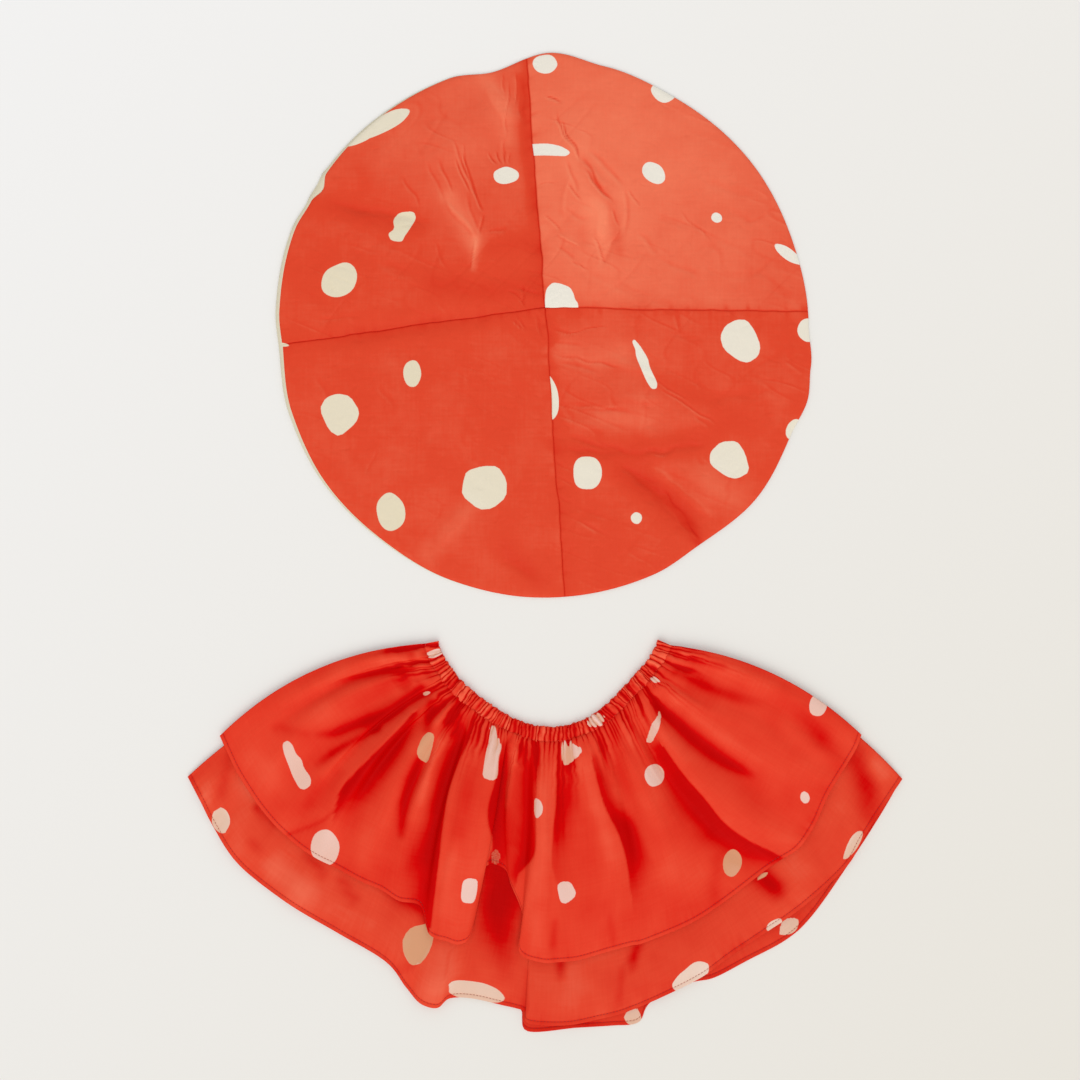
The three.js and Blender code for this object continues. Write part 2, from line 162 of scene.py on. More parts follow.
def foldAndShadeBands(x, y, bands):
    # How deep each point lies in the listed bands, for painted shade and, on the tiers, for the
    # depth of their folds as well: 1 in a deep one, below 0 on a lifted ridge painted paler.
    # Each band is a smooth path with a bell across it, whose width and depth change from
    # point to point. side 1 or -1 keeps the bell on the left or the right of the path, and
    # the other side falls off at once, as where a fold hangs over.
    total = np.zeros_like(x)
    for band in bands:
        pathX, pathY, places = curveThrough(band["through"], 24 * (len(band["through"]) - 1) + 1)
        numbers = np.arange(len(band["through"]))
        widths = np.interp(places, numbers, np.broadcast_to(band["width"], numbers.shape))
        depths = np.interp(places, numbers, np.broadcast_to(band["depth"], numbers.shape))
        tangentX, tangentY = np.gradient(pathX), np.gradient(pathY)
        nearest = np.full_like(x, 1e9)
        chosen = np.zeros(x.shape, int)
        for k in range(len(pathX)):
            distance = (x - pathX[k]) ** 2 + (y - pathY[k]) ** 2
            closer = distance < nearest
            nearest = np.where(closer, distance, nearest)
            chosen = np.where(closer, k, chosen)
        leftward = tangentX[chosen] * (y - pathY[chosen]) - tangentY[chosen] * (x - pathX[chosen])
        width = widths[chosen]
        side = band["side"]
        if side:
            width = np.where(leftward * side > 0, width, sharpEdge)
        total += depths[chosen] * np.exp(-nearest / width ** 2)
    return total


def oval(x, y, along, across, tone, turn=0, wobble=0.05, power=2.0, **other):
    # a rounded spot: half sizes, tone (1 is in shade), turn in degrees and waves of its edge
    return {"x": x, "y": y, "along": along, "across": across, "tone": tone, "turn": turn, "wobble": wobble,
            "power": power, **other}


def ovalDistance(x, y, spot, number):
    # Distance in from the edge of |a|^power + |b|^power = 1, in mm, where a and b are the
    # places along and across. Power 2 is an ellipse and a higher one is squarer. The edge
    # waves by four cosines whose turns are drawn by the spot's number.
    turn = math.radians(spot["turn"])
    dx, dy = x - spot["x"], y - spot["y"]
    a = (dx * math.cos(turn) + dy * math.sin(turn)) / spot["along"]
    b = (dy * math.cos(turn) - dx * math.sin(turn)) / spot["across"]
    power = spot["power"]
    reach = (np.abs(a) ** power + np.abs(b) ** power) ** (1 / power)
    direction = np.arctan2(b, a)
    phases = np.random.default_rng(number).uniform(0, 6.28, 4)
    wave = sum(np.cos((k + 3) * direction + phases[k]) / (k + 2) for k in range(4))
    edge = 1 + spot["wobble"] * wave
    return (edge - reach) * math.sqrt(spot["along"] * spot["across"])


def blot(tone, *outline):
    # a spot inside an outline of its own
    return {"outline": outline, "tone": tone}


def outlineDistance(x, y, outline):
    # Signed distance to a closed outline, positive inside: the distance to the nearest of
    # its sides. Corners are cut once at a fifth of each side first.
    corners = np.array(outline, float)
    following = np.roll(corners, -1, axis=0)
    rounded = np.stack([0.8 * corners + 0.2 * following, 0.2 * corners + 0.8 * following], 1).reshape(-1, 2)
    nearest = np.full(x.shape, 1e9)
    inside = np.zeros(x.shape, bool)
    for (ax, ay), (bx, by) in zip(rounded, np.roll(rounded, -1, axis=0)):
        along = ((x - ax) * (bx - ax) + (y - ay) * (by - ay)) / ((bx - ax) ** 2 + (by - ay) ** 2)
        along = np.clip(along, 0, 1)
        nearest = np.minimum(nearest, np.hypot(x - ax - along * (bx - ax), y - ay - along * (by - ay)))
        if ay != by:
            crosses = (ay > y) != (by > y)
            inside ^= crosses & (x < ax + (y - ay) * (bx - ax) / (by - ay))
    return np.where(inside, nearest, -nearest)


def spotField(x, y, spots, share=None):
    # How far inside a printed spot each point lies, in mm (outside it is negative), and the
    # tone of the spot that it is nearest to. fromShare and toShare keep a spot on one side
    # of a fold, by the share of the waist.
    field = np.full_like(x, -50.0)
    tone = np.zeros_like(x)
    for number, spot in enumerate(spots):
        if "outline" in spot:
            inside = outlineDistance(x, y, spot["outline"])
        else:
            inside = ovalDistance(x, y, spot, number)
        if share is not None and "fromShare" in spot:
            inside = np.where(share < spot["fromShare"], -50.0, inside)
        if share is not None and "toShare" in spot:
            inside = np.where(share > spot["toShare"], -50.0, inside)
        inside = np.minimum(inside, spot.get("most", 6.0))  # under 0.35 mm red shows through
        tone = np.where(inside > np.maximum(field, -3), spot["tone"], tone)
        field = np.maximum(field, inside)
    return np.clip(field, -6, 6), tone


def gridFaces(nu, nv, roundU=False, roundV=False):
    # quads of a grid of nu by nv points, closed on itself where asked
    u = np.arange(nu if roundU else nu - 1)
    v = np.arange(nv if roundV else nv - 1)
    i, j = np.meshgrid(u, v, indexing="ij")
    i2, j2 = (i + 1) % nu, (j + 1) % nv
    return np.stack([i * nv + j, i2 * nv + j, i2 * nv + j2, i * nv + j2], -1).reshape(-1, 4)


def addPiece(name, points, faces, material, clothPlace=None, values=None):
    # a mesh from points in mm and quads, with its cloth coordinates and point values
    mesh = bpy.data.meshes.new(name)
    points = np.ascontiguousarray(points.reshape(-1, 3) * millimetre, dtype=np.float32)
    faces = np.ascontiguousarray(faces, dtype=np.int32)
    mesh.vertices.add(len(points))
    mesh.vertices.foreach_set("co", points.ravel())
    mesh.loops.add(faces.size)
    mesh.loops.foreach_set("vertex_index", faces.ravel())
    mesh.polygons.add(len(faces))
    mesh.polygons.foreach_set("loop_start", np.arange(0, faces.size, 4, dtype=np.int32))
    mesh.update(calc_edges=True)
    mesh.polygons.foreach_set("use_smooth", np.ones(len(faces), dtype=bool))
    if clothPlace is not None:
        layer = mesh.uv_layers.new(name="clothPlace")
        place = (clothPlace.reshape(-1, 2) * millimetre)[faces.ravel()]
        layer.data.foreach_set("uv", np.ascontiguousarray(place, dtype=np.float32).ravel())
    for key, value in (values or {}).items():
        stored = mesh.attributes.new(key, "FLOAT", "POINT")
        stored.data.foreach_set("value", np.ascontiguousarray(value.ravel(), dtype=np.float32))
    mesh.validate()
    mesh.materials.append(material)
    piece = bpy.data.objects.new(name, mesh)
    bpy.context.scene.collection.objects.link(piece)
    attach(piece, "root")
    return piece


def giveThickness(piece, thickness, hemWeights=None, hemThickness=None):
    # thin cloth about its middle surface, thicker where hemWeights says that it is doubled
    shell = piece.modifiers.new("cloth", "SOLIDIFY")
    shell.offset = 0
    shell.use_even_offset = False
    if hemWeights is None:
        shell.thickness = thickness * millimetre
        return
    group = piece.vertex_groups.new(name="doubled")
    weights = hemWeights.ravel()
    for level in range(1, 9):
        chosen = np.flatnonzero(np.round(weights * 8).astype(int) == level)
        if len(chosen):
            group.add(chosen.tolist(), level / 8, "REPLACE")
    shell.vertex_group = "doubled"
    shell.thickness = hemThickness * millimetre
    shell.thickness_vertex_group = thickness / hemThickness


def addStitches(name, line, material, slot, pitch, length, radius, lift):
    # Running stitches along a line of points: a six-sided bar a stitch long, rounded at its
    # ends by two narrow rings, one at every pitch of the way along the line.
    steps = np.linalg.norm(np.diff(line, axis=0), axis=1)
    way = np.concatenate([[0], np.cumsum(steps)])
    starts = np.arange(pitch * 0.5, way[-1] - pitch * 0.5, pitch)
    rings = starts[:, None] + np.array([-0.5, -0.3, 0.3, 0.5]) * length
    centre = np.stack([np.interp(rings, way, line[:, k]) for k in range(3)], -1)
    arch = np.array([-0.12, 0.0, 0.0, -0.12])
    centre[..., 2] += lift + arch
    tangent = centre[:, -1] - centre[:, 0]
    tangent /= np.linalg.norm(tangent, axis=1)[:, None]
    side = np.stack([-tangent[:, 1], tangent[:, 0], 0 * tangent[:, 0]], -1)
    side /= np.linalg.norm(side, axis=1)[:, None]
    up = np.cross(tangent, side)
    turn = np.arange(6) / 6 * 2 * math.pi
    girth = radius * np.array([0.35, 1.0, 1.0, 0.35])
    ring = (side[:, None, None] * np.cos(turn)[None, None, :, None]
            + up[:, None, None] * np.sin(turn)[None, None, :, None]) * girth[None, :, None, None]
    points = centre[:, :, None] + ring
    count = len(starts)
    one = gridFaces(4, 6, roundV=True)
    caps = np.array([[0, 3, 2, 1], [0, 5, 4, 3], [18, 19, 20, 21], [18, 21, 22, 23]])
    one = np.concatenate([one[:, ::-1], caps[:, ::-1]])
    faces = (one[None] + 24 * np.arange(count)[:, None, None]).reshape(-1, 4)
    return addPiece(name, points, faces[:, ::-1], material)


# Materials

def newMaterial(name):
    # an empty material and its node tree
    material = bpy.data.materials.new(name)
    material.use_nodes = True
    material.node_tree.nodes.clear()
    return material, material.node_tree


silk = {
    "reds": ("#FF6D4E", "#F0452D", "#DE0000", "#CB0000"),  # of lifted cloth as painted light, level cloth, and deep and deepest cloth as painted shade
    "spots": ("#F6D0C4", "#E2A07A"),  # in the light and in shade
    "threadPitch": 1.3,  # mm. Real threads lie about 0.2 mm apart, too fine to show here
    "weaveBump": 0.12, "weaveDepth": 0.1,
    "slubLength": 26.0, "slubWidth": 2.2, "slubDepth": 0.3,  # mm, of the thicker stretches of a thread
    "slubBump": 0.2, "slubShare": 0.1,
    "cloudScale": 26.0, "cloudShare": 0.5,  # uneven dye, in clouds some 40 mm across
    "crinkle": 0.3, "crinkleSize": 9.0, "crinkleDepth": 0.8,
    "edgeScale": 900.0, "edgeBleed": 0.5, "edgeSoft": 0.35,  # mm that a spot's print bleeds and fades over
    "creamShade": 0.45,  # how fast a spot takes on its shade in a fold
    "roughness": 0.5, "gloss": 0.1,
    "letsThrough": 0.12,  # share of light that passes through one layer
}


def makeSilk(name, own):
    # Plain-woven light silk, piece dyed and printed with spots. Its fine filament threads
    # give a low soft gloss and a few slubs, and it lets some light through. Its red holds
    # painted shade and light from the attribute of painted shade and tone: a deeper red in
    # folds and where cloth lies on cloth, partly as light there passes red cloth more than
    # once, and a paler, more orange red as painted light on lifted folds.
    look = {**silk, **own}
    material, tree = newMaterial(name)
    place = addNode(tree, "TexCoord").outputs["Object"]
    threads = addNode(tree, "UVMap", {"uv_map": "clothPlace"})
    spot, tone, paintedShadeAndTone = (addNode(tree, "Attribute", {"attribute_name": key}).outputs["Fac"]
                        for key in ("spot", "tone", "paintedShadeAndTone"))

    # slubs are noise drawn out along the threads of both directions
    drawnOut, narrow = 1 / (look["slubLength"] * millimetre), 1 / (look["slubWidth"] * millimetre)
    slubs = []
    for scale in ((drawnOut, narrow, 1), (narrow, drawnOut, 1)):
        stretch = addNode(tree, "Mapping", {"Scale": scale}, {"Vector": threads})
        slubs.append(addNode(tree, "TexNoise", {"Scale": 1.0, "Detail": 1.0}, {"Vector": stretch}))
    slubBoth = addNode(tree, "Math", {"operation": "ADD"}, {0: slubs[0], 1: slubs[1]})

    # the red, by its painted shade and light, a little uneven
    slubShade = addNode(tree, "Math", {"operation": "MULTIPLY_ADD", 1: look["slubShare"],
                                       2: -look["slubShare"]}, {0: slubBoth})
    cloudy = addNode(tree, "TexNoise", {"Scale": look["cloudScale"], "Detail": 4.0, "Roughness": 0.6},
                     {"Vector": place})
    cloudShade = addNode(tree, "Math", {"operation": "MULTIPLY_ADD", 1: look["cloudShare"],
                                        2: -look["cloudShare"] / 2}, {0: cloudy})
    uneven = addNode(tree, "Math", {"operation": "ADD"}, {0: slubShade, 1: cloudShade})
    depth = addNode(tree, "Math", {"operation": "ADD"}, {0: paintedShadeAndTone, 1: uneven})
    rampPlace = addNode(tree, "MapRange", {"From Min": -1.0, "From Max": 1.5}, {"Value": depth})
    red = addNode(tree, "ValToRGB", {}, {"Fac": rampPlace})
    for stopPlace in (0.4, 0.8):
        red.color_ramp.elements.new(stopPlace)
    for stop, colour in zip(red.color_ramp.elements, look["reds"]):
        stop.color = linearColour(colour)

    # the printed spots, whose edges bleed a little along the threads
    shaded = addNode(tree, "Math", {"operation": "MULTIPLY_ADD", "use_clamp": True, 1: look["creamShade"]},
                     {0: paintedShadeAndTone, 2: tone})
    light, shade = [linearColour(colour) for colour in look["spots"]]
    cream = addNode(tree, "Mix", {"data_type": "RGBA", 6: light, 7: shade}, {0: shaded}).outputs[2]
    ragged = addNode(tree, "TexNoise", {"Scale": look["edgeScale"], "Detail": 2.0}, {"Vector": place})
    bleed = addNode(tree, "Math", {"operation": "MULTIPLY_ADD", 1: look["edgeBleed"],
                                   2: -look["edgeBleed"] / 2}, {0: ragged})
    spotPlace = addNode(tree, "Math", {"operation": "ADD"}, {0: spot, 1: bleed})
    printed = addNode(tree, "MapRange", {"From Min": -look["edgeSoft"], "From Max": look["edgeSoft"],
                                         "interpolation_type": "SMOOTHSTEP"}, {"Value": spotPlace})
    colour = addNode(tree, "Mix", {"data_type": "RGBA"}, {0: printed, 6: red, 7: cream}).outputs[2]

    # the weave: bands of the wave texture are 2 pi / (20 x scale) apart
    threadScale = 2 * math.pi / (20 * look["threadPitch"] * millimetre)
    waves = []
    for way in ("X", "Y"):
        wave = addNode(tree, "TexWave", {"bands_direction": way, "Scale": threadScale, "Distortion": 0.5,
                                         "Detail": 1.0}, {"Vector": threads})
        waves.append(wave.outputs["Fac"])
    weave = addNode(tree, "Math", {"operation": "MULTIPLY"}, {0: waves[0], 1: waves[1]})
    crinkles = addNode(tree, "TexNoise", {
        "noise_type": "RIDGED_MULTIFRACTAL", "Scale": 1 / (look["crinkleSize"] * millimetre), "Detail": 3.0,
        "Roughness": 0.6, "Distortion": 0.5}, {"Vector": place})

    # relief of the weave, then of the slubs, then of the crinkles
    relief = None
    for strength, deep, height, invert in (("weaveBump", "weaveDepth", weave, False),
                                           ("slubBump", "slubDepth", slubBoth, False),
                                           ("crinkle", "crinkleDepth", crinkles, True)):
        below = {"Normal": relief} if relief else {}
        relief = addNode(tree, "Bump", {"Strength": look[strength], "Distance": look[deep] * millimetre,
                                        "invert": invert}, {"Height": height, **below})
    dulled = addNode(tree, "MapRange", {"From Min": 0.8, "From Max": 1.2, "To Min": look["roughness"] - 0.05,
                                        "To Max": look["roughness"] + 0.06}, {"Value": slubBoth})

    face = addNode(tree, "BsdfPrincipled", {
        "Specular IOR Level": look["gloss"], "IOR": 1.5, "Sheen Weight": 0.01, "Sheen Roughness": 0.4,
        "Sheen Tint": (1.0, 0.45, 0.3, 1.0)}, {"Base Color": colour, "Roughness": dulled, "Normal": relief})
    through = addNode(tree, "BsdfTranslucent", {}, {"Color": colour, "Normal": relief})
    body = addNode(tree, "MixShader", {0: look["letsThrough"]}, {1: face, 2: through})
    addNode(tree, "OutputMaterial", {}, {"Surface": body})
    return material


crownSilk = makeSilk("printed red silk, woven", {
    "reds": ("#FF8A66", "#E8492B", "#DB2A10", "#C01204"), "spots": ("#F3EEE2", "#E9DCBC"), "crinkle": 0.7})
gathered = {"gloss": 0.04, "slubShare": 0.16, "crinkle": 0.05, "crinkleSize": 20.0}
skirtSilk = makeSilk("printed red silk, woven and gathered", gathered)
# a little paler than the short tier's reds, as painted light from the paper through one layer
longTierSilk = makeSilk("printed red silk, woven, one layer", {
    **gathered, "reds": ("#FF8060", "#F24E33", "#DE0000", "#C80000"), "spots": ("#F8E0D0", "#E5A880"),
    "letsThrough": 0.18})
casingSilk = makeSilk("printed red silk, ruched on an elastic", {
    "gloss": 0.05, "crinkle": 0.8, "crinkleSize": 4.0})
creamSilk = makeSilk("cream silk, woven, undyed", {
    "reds": ("#EFE8D2", "#E9E0C6", "#DCCFAE", "#D2C39E"), "spots": ("#E9E0C6", "#E9E0C6")})


def makeThread(name, colour, shade):
    # spun sewing thread, matt, mottled between its colour and its shade by its fuzz
    material, tree = newMaterial(name)
    place = addNode(tree, "TexCoord").outputs["Object"]
    fuzz = addNode(tree, "TexNoise", {"Scale": 1500.0, "Detail": 2.0}, {"Vector": place})
    colours = addNode(tree, "Mix", {"data_type": "RGBA", 6: linearColour(colour), 7: linearColour(shade)},
                      {0: fuzz}).outputs[2]
    bump = addNode(tree, "Bump", {"Strength": 0.4, "Distance": 0.1 * millimetre}, {"Height": fuzz})
    face = addNode(tree, "BsdfPrincipled", {"Roughness": 0.8, "Sheen Weight": 0.2},
                   {"Base Color": colours, "Normal": bump})
    addNode(tree, "OutputMaterial", {}, {"Surface": face})
    return material


redThread = makeThread("spun red thread", "#B41410", "#7A0A08")
waistThread = makeThread("spun thread of the waist, red as the cloth", "#F0472F", "#D62414")
print("materials made")

# Cap

cap = {
    "centreX": -1, "centreY": 195,
    "crossX": 0, "crossY": 210,  # where the four crown panels meet
    "rise": 8.5, "shape": 2.5,
    "cells": 152,  # along each side of a crown panel
    "seamDepth": 0.5, "seamWidth": 0.8, "seamWander": 1.1,
    "rimRoll": 0.7, "rimWidth": 1.6,
    "reach": 240,  # from the crossing to the rim, about
    "seamGap": 0.02,  # between a panel and each seam
    "puckerPitch": 5.0, "puckerDepth": 0.55,
    "lightX": 1.2, "lightY": 1.0,  # from a crease to its lit side
}

# Rim of the cap: angle in degrees from +X, and radius.
rimRows = rowsOf("angle radius", [
    (-9, 243), (0, 238), (19, 236), (38, 237), (60, 236), (77, 239), (88, 245), (102, 232), (111, 237.5),
    (145, 238.5), (148.5, 233), (152, 237), (159, 240), (177, 238.5), (185.5, 236), (199, 240), (216, 242),
    (232, 241.5), (250, 244), (267.5, 245), (294, 245), (305, 242), (321, 246.5), (336.5, 243),
    (344, 246.5), (351, 243), (360, 238),
])

# fromShade and toShade darken the cloth beside the seams with painted shade. light is a
# painted sheen: how much paler a panel is painted about one place, as its grain runs
# another way to the light.
crownPanels = [
    {"name": "crown_panel_top_right", "from": 3, "to": 93.7, "fromShade": 0.25, "toShade": -0.1,
     "light": 0.66, "lightX": 50, "lightY": 325, "lightReach": 205, "rumple": 1.0},
    {"name": "crown_panel_top_left", "from": 93.7, "to": 184.2, "fromShade": 0.4, "toShade": 0.15,
     "light": 0.3, "lightX": -70, "lightY": 395, "lightReach": 120, "rumple": 0.8},
    {"name": "crown_panel_bottom_left", "from": 184.2, "to": 274.4, "fromShade": 0.4, "toShade": -0.1,
     "light": 0.05, "lightX": -120, "lightY": 80, "lightReach": 120, "rumple": 0.35},
    {"name": "crown_panel_bottom_right", "from": 274.4, "to": 363, "fromShade": 0.3, "toShade": 0.1,
     "light": 0.16, "lightX": 75, "lightY": 175, "lightReach": 95, "rumple": 0.8},
]

# Broad soft folds of the crown, as its solids have them.
crownFolds = rowsOf("x y toX toY width height", [
    (66, 84, 146, -2, 15, -2.6), (84, 104, 168, 22, 18, 1.8), (-210, 312, -90, 286, 16, -1.6),
    (-24, 404, -110, 330, 20, 1.8), (20, 390, 46, 270, 16, 1.6), (-16, 415, -4, 226, 9, -1.8),
    (-226, 178, -16, 208, 9, -1.8), (30, 132, 170, 118, 20, 1.4),
])

# Small creases that were pressed into the silk while it was packed.
crownCreases = rowsOf("x y toX toY width height bow", [
    # top left panel
    (-85, 364, -64, 318, 2.4, -0.8), (-97, 346, -80, 311, 2.2, -0.7), (-76, 353, -60, 312, 2.2, -0.6, 2),
    (-105, 344, -89, 303, 2.5, -0.5), (-72, 359, -69, 337, 2.0, -0.5), (-36, 364, -36, 340, 2.0, -0.6),
    (-90, 309, -61, 272, 3.6, 1.0), (-61, 274, -66, 242, 2.4, 0.9), (-70, 318, -52, 272, 3.0, -0.6, 4),
    (-55, 416, -27, 372, 9, 1.3), (-23, 424, -19, 372, 5.5, -1.5), (-205, 307, -95, 285, 6, -1.1),
    (-27, 227, -2, 219, 2.5, -0.9), (-22, 232, -19, 211, 2.0, -0.8), (-150, 250, -110, 236, 6, -0.5),
    # top right panel
    (9, 388, 33, 343, 1.7, -1.3, 2), (30, 350, 58, 306, 3.2, -1.1), (36, 353, 72, 316, 3.6, -0.9, -3),
    (71, 320, 67, 272, 3.4, -0.9, -5), (68, 278, 48, 244, 4.2, -1.0), (19, 345, 30, 311, 2.8, -0.8),
    (10, 267, 27, 250, 3.0, -0.7), (84, 280, 103, 256, 3.8, -0.7), (1, 401, 16, 395, 1.9, -0.8),
    (40, 335, 57, 317, 4.5, 1.0), (50, 306, 50, 268, 7, 1.2), (103, 252, 142, 239, 4.5, -0.6),
    (14, 300, 40, 286, 3.0, -0.5), (24, 332, 16, 290, 3.2, 0.6, 3), (140, 326, 195, 306, 7, -0.6),
    # bottom left panel
    (-27, 204, -15, 189, 2.0, -0.8), (-10, 208, -1, 182, 2.3, -0.8), (-65, 32, -104, -9, 11, 1.0),
    (-42, -10, -6, -36, 11, -1.3), (-150, 143, -134, 118, 3.0, -0.4), (-205, 150, -190, 120, 4.0, -0.4),
    # bottom right panel
    (4, 192, 24, 188, 2.8, -0.7), (6, 177, 36, 175, 2.8, -0.6), (9, 160, 50, 151, 3.8, -0.8, -2),
    (15, 122, 82, 112, 4.4, -0.9, -3), (15, 98, 90, 79, 4.4, -1.2, 3), (84, 80, 148, 90, 4.6, -1.2, 2),
    (72, 66, 140, 9, 7, -1.6), (88, 72, 156, 17, 7, 1.3), (134, 114, 150, 103, 3.0, -0.6),
    (118, 207, 119, 189, 3.0, -0.7), (214, 163, 234, 151, 3.0, -0.6), (8, 71, 26, 65, 2.0, -0.5),
    (11, 58, 28, 49, 2.0, -0.5), (11, 42, 26, 35, 2.0, -0.5), (50, 165, 105, 149, 8, 0.9),
    (13, 111, 52, 100, 6, 0.9), (140, 127, 195, 136, 7, -0.8), (60, 128, 110, 130, 6, 0.6),
    # finer ones, pressed in sharply
    (-32, 419, -35, 361, 1.6, -0.7), (-24, 424, -26, 390, 1.5, -0.8), (-39.5, 422, -37, 402, 1.4, -0.6),
    (-50.5, 351, -42, 339, 1.3, -0.8), (-43, 352, -38, 339, 1.2, -0.8), (-34.7, 353.5, -35, 338, 1.2, -0.7),
    (-29.8, 350, -31.8, 338.5, 1.2, -0.6), (-73.6, 353.5, -60, 307, 1.6, -1.1),
    (-81, 346, -66, 312, 1.5, -1.0),
    (-67.5, 324, -54, 295, 1.6, -1.1), (-54, 295, -58, 276, 1.8, -1.0), (-54, 276, -32, 282, 2.0, -0.7),
    (-8, 319.5, 14, 320.7, 1.4, -0.5), (19, 322, 33, 305, 1.5, -0.9), (33, 336.5, 62.6, 302.5, 1.8, -1.3),
    (14, 381, 33, 341, 1.3, -1.5), (-0.5, 402, 14, 397, 1.3, -0.7), (-2, 295, 16, 278, 1.6, -0.7),
    (9, 278, 33, 263.6, 1.8, 0.7), (43, 276, 55, 246.5, 1.8, -0.9), (-30, 200, -21, 190.6, 1.5, -0.9),
    (-35, 227, -15, 210, 1.6, -0.8), (2.6, 168, 72, 156, 2.0, -0.7), (9, 186, 59, 192.7, 1.6, -0.6),
    (26, 119.7, 69, 121.4, 2.4, 0.8), (102, 139.6, 158.5, 103, 1.6, -0.8), (85.5, 153, 132, 126, 1.5, -0.6),
    (12.6, 83, 75, 78, 4.0, -1.0), (75, 78, 119, 81.6, 4.0, -1.0), (65.6, 70, 104, 50, 4.5, -1.4),
    (102, 50, 135, 3.7, 3.6, -2.2), (124, 20, 141, 2, 2.2, -1.6), (60, 300, 66, 282, 1.5, -0.8),
    (66, 282, 60, 264, 1.5, -0.7), (74, 318, 86, 300, 1.6, -0.7), (22, 250, 40, 243, 1.6, -0.7),
    (-100, 270, -85, 240, 2.0, -0.5), (-128, 330, -110, 300, 1.8, -0.5), (120, 300, 150, 268, 2.0, -0.5),
    (-210, 200, -160, 205, 2.4, -0.4), (-160, 60, -150, 85, 1.8, -0.4), (30, 20, 60, 5, 2.2, -0.6),
])

# Broad shade and light on the crown, in the troughs and on the backs of its soft folds.
crownBands = rowsOf("width depth side through", [
    ([9, 11, 11, 8, 4], [0.3, 0.5, 0.6, 0.75, 0.9], 0, [(66, 62), (90, 50), (112, 36), (130, 14),
     (138, -1)]),
    ([8, 11, 12, 12], [0.3, 0.4, 0.35, 0.15], 0, [(14, 83), (69, 79), (132, 90), (174, 113)]),
    (14, -0.25, 0, [(147, 58), (172, 37)]), (12, -0.25, 0, [(14, 172), (45, 164), (70, 170)]),
    (9, -0.3, 0, [(50, 112), (88, 108)]), (12, 0.2, 0, [(100, 145), (150, 125)]),
    (10, -0.2, 0, [(150, 215), (225, 206)]),
    (9, [0.2, 0.4, 0.2], 0, [(-205, 303), (-160, 292), (-118, 284)]),
    (9, -0.45, 0, [(-86, 308), (-72, 286), (-64, 268)]), (3.5, -0.4, 0, [(-62, 272), (-64, 246)]),
    (8, 0.25, 0, [(-50, 262), (-22, 268), (-4, 262)]), (11, 0.4, 0, [(-100, 232), (-60, 226), (-14, 226)]),
    ([6, 5, 5], [0.4, 0.35, 0.2], 0, [(-20, 415), (-18, 360), (-10, 300)]),
    (9, -0.3, 0, [(-56, 421), (-40, 390), (-34, 362)]), (6, 0.3, 0, [(35, 340), (60, 300), (66, 262)]),
    (9, -0.3, 0, [(46, 300), (50, 268)]), (10, 0.35, 0, [(-34, -6), (-8, -34)]),
    (12, -0.25, 0, [(-66, 30), (-104, -10)]),
])

